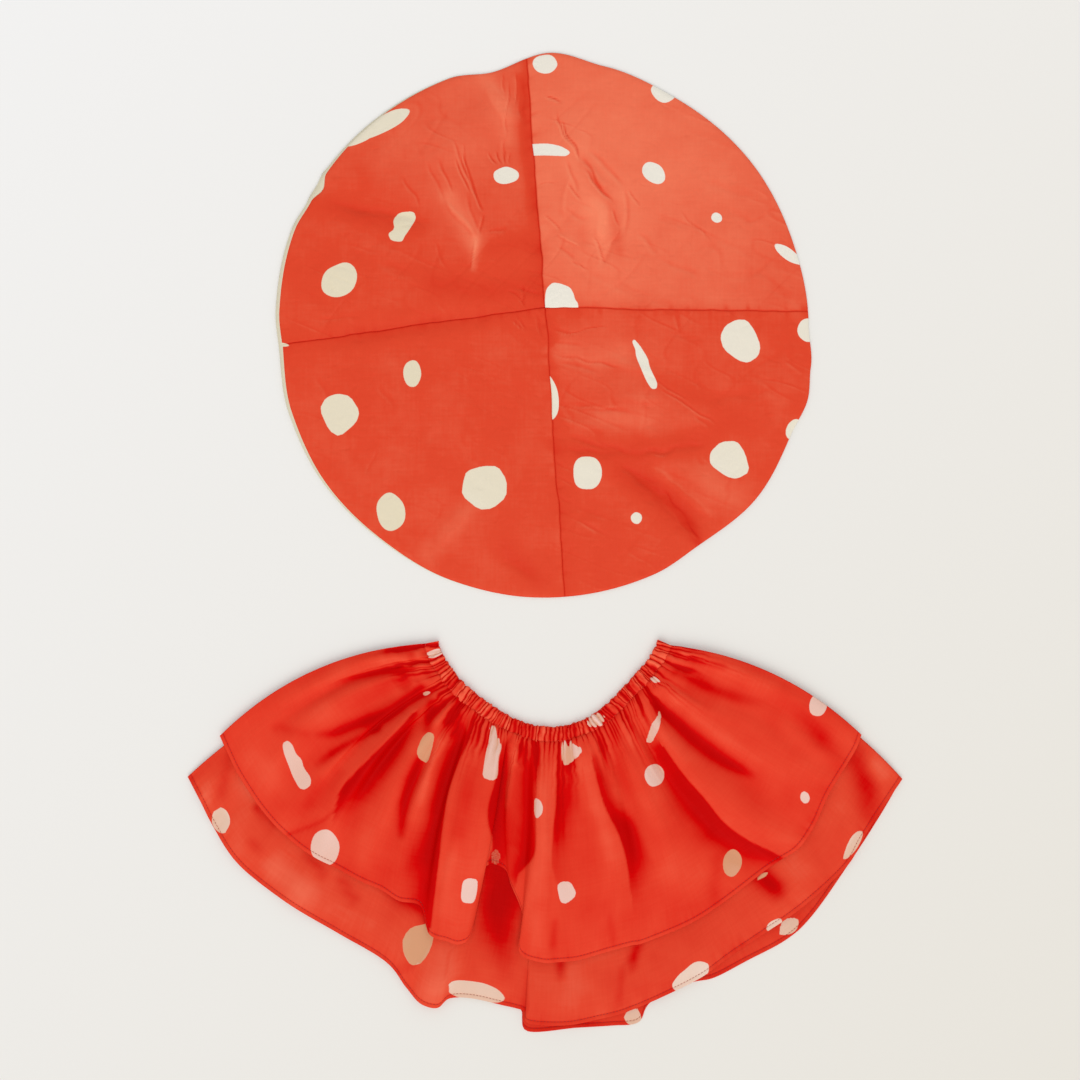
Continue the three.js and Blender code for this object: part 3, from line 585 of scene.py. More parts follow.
crownSpots = {
    "crown_panel_top_right": [
        oval(0, 429.5, 11, 8.6, 0.1, 0, 0.04), oval(106.5, 404.5, 11, 9.2, 0.1, -20),
        blot(0.0, (-16, 357), (-5.5, 357.4), (4.2, 357.2), (14, 355), (20.8, 351.1), (22.8, 348.7),
             (18.8, 345.8), (11.5, 346.2), (-0.6, 346.7), (-16, 346.7)),
        oval(97.5, 331, 11.6, 8.4, 0.05, -40, 0.03), oval(154, 291, 5, 4.4, 0.1, -30, 0.03),
        oval(219, 258.5, 15, 5, 0.1, -34),
        blot(0.0, (0, 219.8), (1.4, 227.1), (6.7, 232.4), (14, 231.4), (22.5, 228.1), (25.7, 222.2),
             (26.6, 217.8), (29.8, 213.4), (29.5, 206), (0, 206)),
    ],
    "crown_panel_top_left": [
        oval(0, 429.5, 11, 8.6, 0.1, 0, 0.04), oval(-147, 375, 28, 7.2, 0.6, 27, 0.06, power=2.4),
        oval(-168, 364, 16, 6, 0.6, 22, 0.03), oval(-35, 328.5, 11.4, 7.6, 0.2, 4, 0.05),
        blot(0.75, (-141, 276.4), (-135, 280.8), (-136.4, 289.1), (-130.9, 295.9), (-117.8, 296.8),
             (-115.5, 290.4), (-121.2, 280.8), (-126, 274), (-128.1, 269), (-138, 270.2)),
        oval(-184.5, 235, 17.5, 14, 0.75, 38, 0.04), oval(-237, 177.5, 7, 1.8, 0.5, -8),
    ],
    "crown_panel_bottom_left": [
        oval(-119, 151, 8, 12, 0.8, 0, 0.03),
        blot(0.65, (-202.6, 119.3), (-196.8, 129.7), (-186.5, 133.4), (-174.8, 131), (-166.2, 117.3),
             (-169.3, 107), (-184.4, 94.4), (-194, 100.1)),
        blot(0.6, (-73.4, 54.1), (-70.4, 63.7), (-56, 68.2), (-42.2, 68), (-34.2, 55.4), (-34.6, 40.3),
             (-47.1, 29.9), (-59.4, 29), (-74.8, 41.8)),
        oval(-138.5, 27, 12.8, 17, 0.8, 8, 0.04), oval(-237, 177.5, 7, 1.6, 0.5, -8),
    ],
    "crown_panel_bottom_right": [
        blot(0.25, (161.8, 194.3), (171.7, 199.5), (181, 199.3), (188.3, 189.4), (193.5, 176.1),
             (191.6, 166.9), (182.3, 160.6), (173.4, 162.8), (160.1, 172.8), (156.9, 184.4)),
        oval(236, 190.5, 9, 10.5, 0.25, 0, 0.03),
        blot(0.2, (79.6, 182), (84.9, 176.1), (92.2, 164.5), (93.8, 156.2), (100.6, 142.9), (100.1, 137.4),
             (95.5, 136.8), (90.5, 144.6), (84.9, 157.9), (81.5, 166.1), (80.9, 172.8), (78, 179)),
        oval(4, 129, 8, 20, 0.25, 6, 0.04), oval(38, 62, 12.8, 14.8, 0.3, 0, 0.03, power=2.3),
        blot(0.35, (149, 81.6), (157.8, 90), (172.4, 90.8), (179.7, 79.9), (184, 63.2), (172.4, 56.5),
             (162.5, 58.8), (148.3, 69.3), (147.7, 76.6)),
        oval(225, 101, 10, 8, 0.35, 55, 0.03), oval(82, 21.5, 5, 5.2, 0.3, 0, 0.03),
    ],
}


def rimRadius(angle):
    # radius of the rim, from row to row by smooth steps
    angles, radii = column(rimRows, "angle"), column(rimRows, "radius")
    turned = np.mod(angle, 360)
    i = np.clip(np.searchsorted(angles, turned, side="right") - 1, 0, len(angles) - 2)
    return blend(radii[i], radii[i + 1], smooth((turned - angles[i]) / (angles[i + 1] - angles[i])))


def pressedCreases(x, y):
    # Thin crooked creases where a smooth noise passes zero, as silk keeps them from being
    # packed, at two sizes, and only in patches.
    large = np.exp(-(noiseField(0.3 * (x + y), 0.8 * (y - x), 20, 61) / 0.11) ** 2)
    small = np.exp(-(noiseField(0.3 * (x - 0.4 * y), y + 0.4 * x, 11, 62) / 0.16) ** 2)
    patches = smooth(0.5 + 1.1 * noiseField(x, y, 45, 63))
    return (0.5 * large + 0.4 * small) * patches


def crownHeight(x, y, rumple):
    # a shallow dome, 1 - reach^shape, with soft folds and small creases that fade at the rim
    dx, dy = x - cap["centreX"], y - cap["centreY"]
    reach = np.hypot(dx, dy) / rimRadius(np.degrees(np.arctan2(dy, dx)))
    inside = np.maximum(0, 1 - reach ** cap["shape"])
    folds = creaseField(x, y, crownFolds) + creaseField(x, y, crownCreases, narrow=0.6, crook=2.0)
    soft = 0.35 * noiseField(x, y, 31, 4) + 0.22 * noiseField(x + 0.4 * y, y, 13, 5)
    folds = folds + soft - 0.8 * rumple * pressedCreases(x, y)
    lifted = np.maximum(cap["rise"] * inside + folds * smooth(3 * inside), -0.1)
    return cloth["layerStep"] + cloth["wall"] / 2 + lifted


def seamWander(along, seam):
    # how far a seam runs beside its straight line, none at the crossing and at the rim
    ends = smooth(along / 12) * smooth((232 - along) / 12)
    stray = 0.8 * noiseLine(along, 24, 80 + seam) + 0.35 * noiseLine(along, 8, 90 + seam)
    return cap["seamWander"] * ends * stray


def makeCrownPanel(panel, number):
    # A quarter disc on a square grid: one corner at the crossing, two sides along the seams
    # and two on the rim. Both sides along the seams turn down into them and are puckered.
    reach = cap["reach"]
    nearSeam = np.array([0, 0.5, 1.1, 1.9, 2.9]) / reach
    nearRim = 1 - np.array([4.0, 2.8, 1.8, 1.0, 0.4, 0]) / reach
    share = np.concatenate([nearSeam, np.linspace(4.2 / reach, 1 - 5.4 / reach, cap["cells"]), nearRim])
    a, b = np.meshgrid(share, share, indexing="ij")
    out = np.maximum(a, b)
    turn = np.where(a >= b, 0.5 * b / np.maximum(a, 1e-9), 1 - 0.5 * a / np.maximum(b, 1e-9))
    angle = blend(panel["from"], panel["to"], turn)
    radius = rimRadius(angle)
    rimX = cap["centreX"] + radius * np.cos(np.radians(angle))
    rimY = cap["centreY"] + radius * np.sin(np.radians(angle))
    middle = math.radians((panel["from"] + panel["to"]) / 2)
    gap = cap["seamGap"]
    x = blend(cap["crossX"], rimX, out) + gap * math.cos(middle)
    y = blend(cap["crossY"], rimY, out) + gap * math.sin(middle)
    # both panels wander the same way at a seam
    for seam, nearness in ((number, b), ((number + 1) % 4, a)):
        wander = seamWander(out * reach, seam) * np.exp(-nearness * reach / 25)
        heading = math.radians(panel["from"] if seam == number else panel["to"])
        x = x - math.sin(heading) * wander
        y = y + math.cos(heading) * wander
    z = crownHeight(x, y, panel["rumple"])
    toSeam = np.minimum(a, b) * reach
    alongSeam = out * reach
    z -= cap["seamDepth"] * np.exp(-(toSeam / cap["seamWidth"]) ** 2)
    pucker = np.maximum(0, noiseLine(alongSeam, cap["puckerPitch"], 30 + number)) ** 1.5
    pucker = pucker * np.exp(-toSeam / 5) * (1 - np.exp(-toSeam / 1.2))
    z -= cap["puckerDepth"] * pucker
    toRim = (1 - out) * radius
    z -= cap["rimRoll"] * np.exp(-(toRim / cap["rimWidth"]) ** 2)
    spot, tone = spotField(x, y, crownSpots[panel["name"]])
    # Painted light and shade in the colour: a paler painted sheen about one place of each panel, painted
    # shade beside and in the seams and in the puckers, painted shade in the creases' troughs and painted
    # light on their lit sides, and the broad painted bands.
    nearness = np.hypot(x - panel["lightX"], y - panel["lightY"]) / panel["lightReach"]
    paintedShadeAndTone = -panel["light"] * np.exp(-nearness ** 2)
    paintedShadeAndTone = paintedShadeAndTone + panel["fromShade"] * np.exp(-b * reach / 7) + panel["toShade"] * np.exp(-a * reach / 7)
    paintedShadeAndTone = paintedShadeAndTone + 0.9 * np.exp(-(toSeam / 0.9) ** 2) + 0.6 * pucker
    creases = creaseField(x, y, crownCreases, narrow=0.6, crook=2.0)
    litX, litY = x + cap["lightX"], y + cap["lightY"]
    litSide = creaseField(litX, litY, crownCreases, narrow=0.6, crook=2.0)
    pressed = pressedCreases(x, y) - 0.8 * pressedCreases(litX, litY)
    paintedShadeAndTone = paintedShadeAndTone - 0.42 * np.clip(creases, -1.3, 0.8) + 0.36 * np.clip(litSide, -1.3, 0.8)
    paintedShadeAndTone = paintedShadeAndTone + 0.5 * panel["rumple"] * pressed
    paintedShadeAndTone = paintedShadeAndTone - 0.05 * creaseField(x, y, crownFolds) + 0.9 * foldAndShadeBands(x, y, crownBands)
    points, place = np.stack([x, y, z], -1), np.stack([x, y], -1)
    piece = addPiece("silk_" + panel["name"], points, gridFaces(*x.shape), crownSilk, place,
                     {"spot": spot, "tone": tone, "paintedShadeAndTone": np.clip(paintedShadeAndTone, -1, 1.4)})
    giveThickness(piece, cloth["thickness"])
    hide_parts(panel["name"])


for number, panel in enumerate(crownPanels):
    makeCrownPanel(panel, number)

underside = {
    "steps": 280, "rings": 14, "opening": 90.3, "gathers": 48,
    "tuck": 1.0, "lipMost": 3.0,  # mm inside the crown's rim, and outside it where the lip shows
    "lipMiddle": 180, "lipSpread": 66,  # degrees round the rim
    "notchAt": 148.5, "notchWidth": 2.6, "notchLip": 4.5,  # where the crown falls short of the rim
}


def makeUnderside():
    # a flat ring from the head casing to the rim, whose edge rolls and shows as a narrow lip
    angle = np.linspace(0, 360, underside["steps"], endpoint=False)
    shown = np.exp(-((angle - underside["lipMiddle"]) / underside["lipSpread"]) ** 2)
    outer = rimRadius(angle) - underside["tuck"] + (underside["tuck"] + underside["lipMost"]) * shown
    notch = np.exp(-((angle - underside["notchAt"]) / underside["notchWidth"]) ** 2)
    outer = outer + underside["notchLip"] * notch
    share = np.linspace(0, 1, underside["rings"]) ** 0.7
    a, s = np.meshgrid(np.radians(angle), share, indexing="ij")
    radius = blend(underside["opening"], outer[:, None], s)
    x = cap["centreX"] + radius * np.cos(a)
    y = cap["centreY"] + radius * np.sin(a)
    toEdge = outer[:, None] - radius
    gathers = np.cos(a * underside["gathers"]) * np.exp(-(radius - underside["opening"]) / 12)
    z = 0.7 + 0.25 * gathers + (0.2 + 1.5 * shown[:, None]) * np.exp(-(toEdge / 3.5) ** 2)
    flat = np.zeros_like(x)
    points, place = np.stack([x, y, z], -1), np.stack([x, y], -1)
    piece = addPiece("silk_cap_underside", points, gridFaces(*x.shape, roundU=True), creamSilk,
                     place, {"spot": flat - 6, "tone": flat, "paintedShadeAndTone": flat})
    giveThickness(piece, cloth["thickness"])
    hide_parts("cap_underside")


def tubeSection(count, halfWidth, halfHeight, power=2.6):
    # closed flat oval section: |x/w|^p + |z/h|^p = 1, from its inner side over the top
    turn = math.pi - np.arange(count) / count * 2 * math.pi
    c, s = np.cos(turn), np.sin(turn)
    across = halfWidth * np.sign(c) * np.abs(c) ** (2 / power)
    return across, halfHeight * np.sign(s) * np.abs(s) ** (2 / power)


headCasing = {"steps": 288, "around": 14, "middle": 83, "halfWidth": 6.8, "halfHeight": 1.55, "lift": 1.8}


def makeHeadCasing():
    # a flat tube round the opening, ruched on its elastic: its height and edge wave as a
    # cosine with an uneven phase
    steps, around, middle = headCasing["steps"], headCasing["around"], headCasing["middle"]
    angle = np.linspace(0, 2 * math.pi, steps, endpoint=False)
    across, height = tubeSection(around, headCasing["halfWidth"], headCasing["halfHeight"])
    ruche = np.cos(angle * underside["gathers"] + 0.8 * np.sin(angle * 5))[:, None]
    radius = middle + across[None] * (1 + 0.03 * ruche)
    x = cap["centreX"] + radius * np.cos(angle)[:, None]
    y = cap["centreY"] + radius * np.sin(angle)[:, None]
    z = headCasing["lift"] + height[None] * (0.85 + 0.13 * ruche)
    flat = np.zeros_like(x)
    place = np.stack(np.broadcast_arrays(angle[:, None] * middle, np.arange(around)[None] * 2.4), -1)
    points = np.stack([x, y, z], -1)
    piece = addPiece("silk_cap_head_casing", points, gridFaces(steps, around, True, True), creamSilk,
                     place, {"spot": flat - 6, "tone": flat, "paintedShadeAndTone": flat})
    giveThickness(piece, cloth["casingThickness"])
    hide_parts("cap_head_casing")


makeUnderside()
makeHeadCasing()
print("cap made")

# Skirt

skirt = {
    "casingWidth": 14, "casingHeight": 3, "tuckedUnder": 2.5,
    "crumple": 0.003, "stray": 0.0026,  # how far the ruches and the gathers stray, as shares of the waist
    "tubeLift": 2.0,
    "stripLength": 420,  # of the casing's cloth, drawn in to the waist
    "gathers": 72,
    "crestAt": 0.42,  # share of a tier's length at which its folds stand highest
}

# Neckline, the top edge of the casing.
neckRows = rowsOf("x y", [
    (-96, -89), (-94, -98), (-86, -111), (-73, -127), (-52, -144), (-27, -159), (1, -166.5), (30, -162),
    (52, -149), (70, -131), (86, -114), (97, -99), (102, -88),
])

# Folds of the short tier in front: share of the waist, where the fold meets the hem, how
# far it bows to its left on the way, how high it stands on its way and at the hem.
frontOuterFolds = rowsOf("gather x y bow crest hem", [
    (0, -292, -174, -19, 0.3, 0), (0.025, -285, -189, -18, 4, 1.5), (0.05, -276, -207, -23, 1, 2.5),
    (0.08, -260, -232, -29, 6, 3), (0.1, -246, -250, -19, 1, 3), (0.115, -235, -261, -15, 4, 3),
    (0.13, -220, -274, -22, 1, 3), (0.15, -204, -284, -15, 10, 4), (0.163, -188, -292, -17, 0, 2),
    (0.185, -165, -304, -10, 7, 4), (0.205, -147, -312, -11, 2.5, 2.5), (0.225, -131, -322, -13, 7, 2),
    (0.245, -112, -327, -6, 0, 0), (0.262, -104, -351, -9, 9, 4), (0.3, -89, -357, -7, 14, 7),
    (0.34, -76, -360, 0, 12, 7), (0.372, -66, -349, 3, 7, 3), (0.387, -55, -294, -6, 0, 0),
    (0.402, -37, -293, -6, 0, 0), (0.425, -30, -309, -7, 3, 1), (0.445, -20, -336, -1, 0.5, 1),
    (0.46, -23, -367, 5, 8, 5), (0.49, -4, -376, -1, 11, 7), (0.525, 15, -376, -6, 8, 6),
    (0.56, 32, -374, 0, 1, 5), (0.6, 56, -367, 13, 9, 5), (0.63, 76, -362, 11, 6, 3),
    (0.66, 90, -359, 11, 0.5, 2), (0.7, 130, -342, 5, 8, 4), (0.735, 159, -324, -3, 5, 3),
    (0.78, 195, -297, -17, 0, 0.5), (0.81, 210, -286, -17, 6, 3), (0.83, 228, -274, -20, 9, 4),
    (0.86, 242, -254, -8, 1, 3), (0.89, 255, -225, -6, 6, 3.5), (0.945, 273, -196, 5, 1.5, 2.5),
    (0.975, 280, -184, 13, 5, 2), (1, 284, -173, 16, 0.5, 0.2),
])

frontInnerFolds = rowsOf("gather x y bow hem", [
    (0, -321.3, -211, -15, 0), (0.05, -310, -232, -15, 2), (0.09, -298, -256, -15, 1),
    (0.13, -280, -284, -15, 3), (0.17, -258, -305, -14, 1), (0.21, -224, -329, -12, 3),
    (0.25, -185, -352, -10, 1), (0.28, -143, -377, -7, 2), (0.305, -125, -400, -5, 1),
    (0.33, -112, -414, -4, 4), (0.355, -97, -418, -3, 5), (0.38, -86, -410, -2, 2),
    (0.41, -66, -410, -1, 1), (0.44, -40, -416, 0, 0), (0.467, -18, -422, 0, 0), (0.48, -15, -432, 0, 4),
    (0.53, 19, -434, 1, 3), (0.58, 50, -428, 3, 3), (0.62, 71, -423, 4, 1), (0.66, 104, -409, 4, 3),
    (0.71, 140, -391, 2, 3), (0.76, 167, -372, -1, 1), (0.8, 198, -351, -4, 2), (0.85, 231, -328, -5, 3),
    (0.9, 270, -293, 0, 1), (0.94, 285, -268, 6, 2), (0.97, 301, -243, 12, 1), (1, 321.3, -213, 20, 0),
])

backInnerFolds = rowsOf("gather x y bow", [
    (0, -319, -212, -14), (0.08, -298, -249, -15), (0.17, -256, -301, -14), (0.26, -189, -345, -9),
    (0.32, -137, -370, -5), (0.38, -95, -395, -2), (0.44, -41, -409, 0), (0.475, -22, -420, 0),
    (0.49, -16, -440, 0), (0.54, 28, -437, 1), (0.59, 60, -435, 3), (0.63, 84, -432, 4),
    (0.65, 95, -414, 4), (0.69, 130, -397, 3), (0.73, 152, -392, 0), (0.78, 181, -377, -3),
    (0.83, 218, -357, -5), (0.87, 242, -334, -4), (0.92, 277, -284, 2), (0.97, 302, -245, 12),
    (1, 320, -214, 19),
])

backOuterFolds = rowsOf("gather x y bow", [
    (0, -272, -176, -15), (0.12, -244, -228, -15), (0.22, -194, -272, -12), (0.32, -130, -315, -5),
    (0.44, -50, -335, 0), (0.55, 28, -340, 2), (0.66, 95, -335, 4), (0.77, 165, -310, -4),
    (0.87, 224, -250, -5), (1, 266, -177, 13),
])

# Printed spots of the front tiers.
outerSpots = [
    blot(0.15, (-235.6, -180.6), (-230.3, -177.6), (-226.3, -181.4), (-223, -190.2), (-218.3, -194.6),
         (-216.4, -202.7), (-210, -210.8), (-209.6, -217.4), (-214.6, -222), (-220.1, -221.2),
         (-226.3, -210.1), (-230, -199.7), (-233.6, -190.2)),
    oval(-197, -273.5, 12.6, 16, 0.15, 8, 0.04),
    blot(1.0, (-115.2, -187.5), (-110.2, -175.3), (-104.5, -169.5), (-99, -172.4), (-100.6, -183),
         (-105.2, -199), (-112.8, -194.3)),
    blot(0.25, (-49.8, -164), (-44.4, -165), (-43, -174.6), (-40.6, -176.5), (-38.7, -183), (-41.6, -193.6),
         (-42.5, -211.3), (-47.6, -213.4), (-56.2, -210.2), (-54.5, -198.1), (-52.9, -187.5),
         (-50.2, -179.2)),
    blot(0.15, (14.7, -180.5), (17.8, -177), (20.6, -184.5), (23, -177), (26.6, -182.2), (32, -183.2),
         (33.3, -188.6), (28.2, -193.6), (21.3, -199.8), (16.6, -200.2), (14.7, -194.3)),
    blot(0.3, (-9.5, -228.6), (-4.4, -230.4), (-1.5, -236.8), (-2.7, -242.8), (-7, -247.6), (-9.5, -244)),
    blot(0.0, (-73.6, -302.5), (-68, -300.2), (-60.3, -301.8), (-60.6, -311), (-63.3, -323.4),
         (-73.6, -322.6), (-75.4, -317.4)),
    oval(-44.5, -283, 4.4, 6.8, 1.0, 0, 0.04, fromShare=0.38, toShare=0.43, most=-0.1),
    blot(0.0, (10.5, -307.3), (14.9, -304), (22.9, -304.7), (28, -314), (26.5, -318.6), (19.1, -324.1),
         (13.6, -322.6)),
    oval(98, -209, 9, 9.8, 0.1, 0, 0.03),
    blot(0.3, (102.1, -150.5), (104.4, -156.4), (101.2, -169.7), (95.7, -180.6), (90.2, -179.4),
         (92.4, -173.4), (94.7, -164), (100, -157.1)),
    oval(245, -146, 8, 10.5, 0.05, -15, 0.03), oval(233, -229, 4.2, 5.5, 0.0, 12, 0.02),
    oval(168, -288, 8.4, 12.2, 0.85, -10, 0.03), oval(-106, -136, 3.4, 2, 0.1, 10),
    oval(98.5, -123.5, 5, 2.4, 0.1, -20),
]

innerSpots = [
    blot(0.9, (182, -303.5), (190.5, -297), (200.5, -295.6), (199.5, -299.8), (189.6, -304.4)),
    oval(-291, -250, 8.2, 11.6, 0.35, 8, 0.03),
    blot(1.0, (-128.2, -355.9), (-121, -346), (-102, -342), (-98.8, -348), (-102, -364.5), (-110.6, -378.8),
         (-121, -380.5), (-127.4, -368.8)),
    oval(-62, -404, 26, 8.2, 0.3, -11, 0.05, power=2.6), oval(131, -391, 19, 9.5, 0.0, 40, 0.05, power=2.4),
    oval(206, -344, 8, 4.4, 0.15, 34, 0.04), oval(276.5, -272, 15, 4.6, 0.4, 58, 0.04),
]

backInnerSpots = [
    oval(79, -428, 8, 6.5, 0.3, -10, 0.1), oval(218, -345, 11, 8, 0.3, 30, 0.04),
]


def measuredNeckline():
    # the neckline as even steps of length: points and their directions
    rows = [{"gather": i, **row} for i, row in enumerate(neckRows)]
    fine = np.linspace(0, len(rows) - 1, 1201)
    x, y = rowsAt(rows, "x", fine), rowsAt(rows, "y", fine)
    way = np.concatenate([[0], np.cumsum(np.hypot(np.diff(x), np.diff(y)))])
    even = np.linspace(0, way[-1], 1201)
    return np.interp(even, way, x), np.interp(even, way, y), way[-1]


neckLineX, neckLineY, neckLength = measuredNeckline()
neckShares = np.linspace(0, 1, len(neckLineX))
neckAlongX = np.gradient(neckLineX, neckShares) / neckLength
neckAlongY = np.gradient(neckLineY, neckShares) / neckLength


def waistPoint(share, below):
    # a point on the waist: share of the way along the neckline, and distance below it
    x, y = np.interp(share, neckShares, neckLineX), np.interp(share, neckShares, neckLineY)
    alongX, alongY = np.interp(share, neckShares, neckAlongX), np.interp(share, neckShares, neckAlongY)
    return x + alongY * below, y - alongX * below


def rucheProfile(share):
    # |sin(pi x phase)|^0.8, a rounded crest between sharp grooves, whose phase strays
    phase = skirt["gathers"] * share + 0.8 * noiseLine(share, 0.031, 11) + 0.45 * noiseLine(share, 0.011, 12)
    return np.abs(np.sin(math.pi * phase)) ** 0.8


def ruche(share):
    # The ruches of the casing, from 0 in a groove to 1 on a crest: rounded crests and
    # sharp grooves, uneven in width and height.
    return rucheProfile(share) * (0.74 + 0.26 * noiseLine(share, 0.014, 13))


def crookedShare(share, down):
    # the share of the waist that a gather belongs to, as it strays to both sides on its way
    # down: smooth noise of two sizes over the cloth, in mm
    alongWaist, fromWaist = share * neckLength, down * 250
    stray = 0.9 * noiseField(alongWaist, fromWaist, 9, 33) + 0.5 * noiseField(alongWaist, fromWaist, 4.5, 34)
    return share + skirt["stray"] * stray * (1 - np.exp(-down / 0.012))


def crushedCloth(share, down):
    # small crumples below the casing, from -1 to 1, most at its left end: a smooth noise
    # that fades away from the waist
    most = 0.25 + 0.9 * np.exp(-(share / 0.2) ** 2) + 0.4 * np.exp(-((1 - share) / 0.12) ** 2)
    return noiseField(share * neckLength, down * 150, 4.6, 35) * most * np.exp(-down / 0.11)


def looseGathers(share, down):
    # Below the casing the ruches run on as small folds, each for its own length, and join
    # by twos and threes into wider ones before they fade.
    share = crookedShare(share, down)
    length = 0.03 + 0.075 * (0.5 + 0.5 * noiseLine(share, 0.016, 19)) ** 2
    fine = ruche(share) * np.exp(-down / length)
    slant = share + 0.004 * np.sin(share * 40) * down / 0.1
    middle = np.maximum(0, noiseLine(slant, 0.0125, 14)) ** 0.8 * np.exp(-((down - 0.06) / 0.09) ** 2)
    wide = np.maximum(0, noiseLine(slant, 0.024, 15)) * np.exp(-((down - 0.16) / 0.14) ** 2)
    return 2.2 * fine + 2.4 * middle + 2.4 * wide + 0.9 * crushedCloth(share, down)


def paintedGatherShade(share, down):
    # painted shade in the grooves between the gathers and painted light on their crests, fading down from the
    # casing, with painted shade just under the casing and painted shade and light on the crumples
    share = crookedShare(share, down)
    length = 0.035 + 0.11 * (0.5 + 0.5 * noiseLine(share, 0.016, 19)) ** 2
    fine = (0.68 - rucheProfile(share)) * np.exp(-down / length)
    slant = share + 0.004 * np.sin(share * 40) * down / 0.1
    middle = (0.1 - noiseLine(slant, 0.0125, 14)) * np.exp(-((down - 0.06) / 0.085) ** 2)
    gathers = np.maximum(4.8 * fine + 1.5 * middle, -0.35)
    return gathers + 0.55 * np.exp(-down / 0.15) - 0.7 * crushedCloth(share, down)


def tierPlaces(rows, share, down):
    # Along the chord from the waist to the hem, bowed to its left by a parabola.
    startX, startY = waistPoint(share, skirt["casingWidth"] - skirt["tuckedUnder"])
    endX, endY, bow = rowsAt(rows, "x", share), rowsAt(rows, "y", share), rowsAt(rows, "bow", share)
    dx, dy = endX - startX, endY - startY
    length = np.hypot(dx, dy)
    swing = bow * 4 * down * (1 - down)
    return startX + dx * down - dy / length * swing, startY + dy * down + dx / length * swing, length


def tierGrid(rows, columns, downRows):
    # Shares of the waist spaced by a mean of even shares and even steps of the hem, and
    # rows from the waist to the hem with the last ones at set distances from the edge.
    fine = np.linspace(0, 1, 4001)
    x, y = rowsAt(rows, "x", fine), rowsAt(rows, "y", fine)
    way = np.concatenate([[0], np.cumsum(np.hypot(np.diff(x), np.diff(y)))])
    mixed = 0.5 * way / way[-1] + 0.5 * fine
    share = np.interp(np.linspace(0, 1, columns), mixed, fine)
    hemSteps = np.array([6.2, 5.2, 4.4, 3.8, 3.3, 2.8, 2.1, 1.3, 0.6, 0.0])
    t = np.linspace(0, 1, downRows)
    upper = 0.65 * t + 0.35 * t ** 2.2
    share, upper = np.meshgrid(share, upper, indexing="ij")
    length = tierPlaces(rows, share[:, :1], 1.0)[2]
    top = 1 - 7.2 / length
    down = np.concatenate([upper * top, 1 - hemSteps[None] / length], axis=1)
    share = np.broadcast_to(share[:, :1], down.shape)
    return share, down


hemSeam = {
    "fromEdge": 3.4,  # mm
    "stitches": {"pitch": 3.0, "length": 2.2, "radius": 0.22, "lift": 0.3},
}


def hemShape(toEdge, along, seed):
    # a narrow turned hem with a groove at its stitching, and small puckers above it where
    # the thread pulls
    proud = 0.05 * smooth((4.2 - toEdge) / 1.2)
    groove = -0.35 * np.exp(-((toEdge - hemSeam["fromEdge"]) / 0.5) ** 2)
    tight = 0.3 + 0.7 * np.maximum(0, noiseLine(along, 60, seed + 1))
    pull = np.maximum(0, noiseLine(along, 3.4, seed)) * tight
    pucker = pull * np.exp(-((toEdge - 4.2) / 4.5) ** 2)
    return proud + groove - 0.5 * pucker, pucker


def valleyDepth(z, x, y, reach):
    # How far each point lies below the mean of its row within reach, in mm.
    step = np.hypot(np.diff(x, axis=0), np.diff(y, axis=0))
    way = np.concatenate([np.zeros((1, z.shape[1])), np.cumsum(step, axis=0)])
    total = np.concatenate([np.zeros((1, z.shape[1])), np.cumsum((z[1:] + z[:-1]) / 2 * step, axis=0)])
    mean = np.empty_like(z)
    for j in range(z.shape[1]):
        low = np.clip(way[:, j] - reach, 0, way[-1, j])
        high = np.clip(way[:, j] + reach, 0, way[-1, j])
        between = np.interp(high, way[:, j], total[:, j]) - np.interp(low, way[:, j], total[:, j])
        mean[:, j] = between / np.maximum(high - low, 1e-6)
    return mean - z


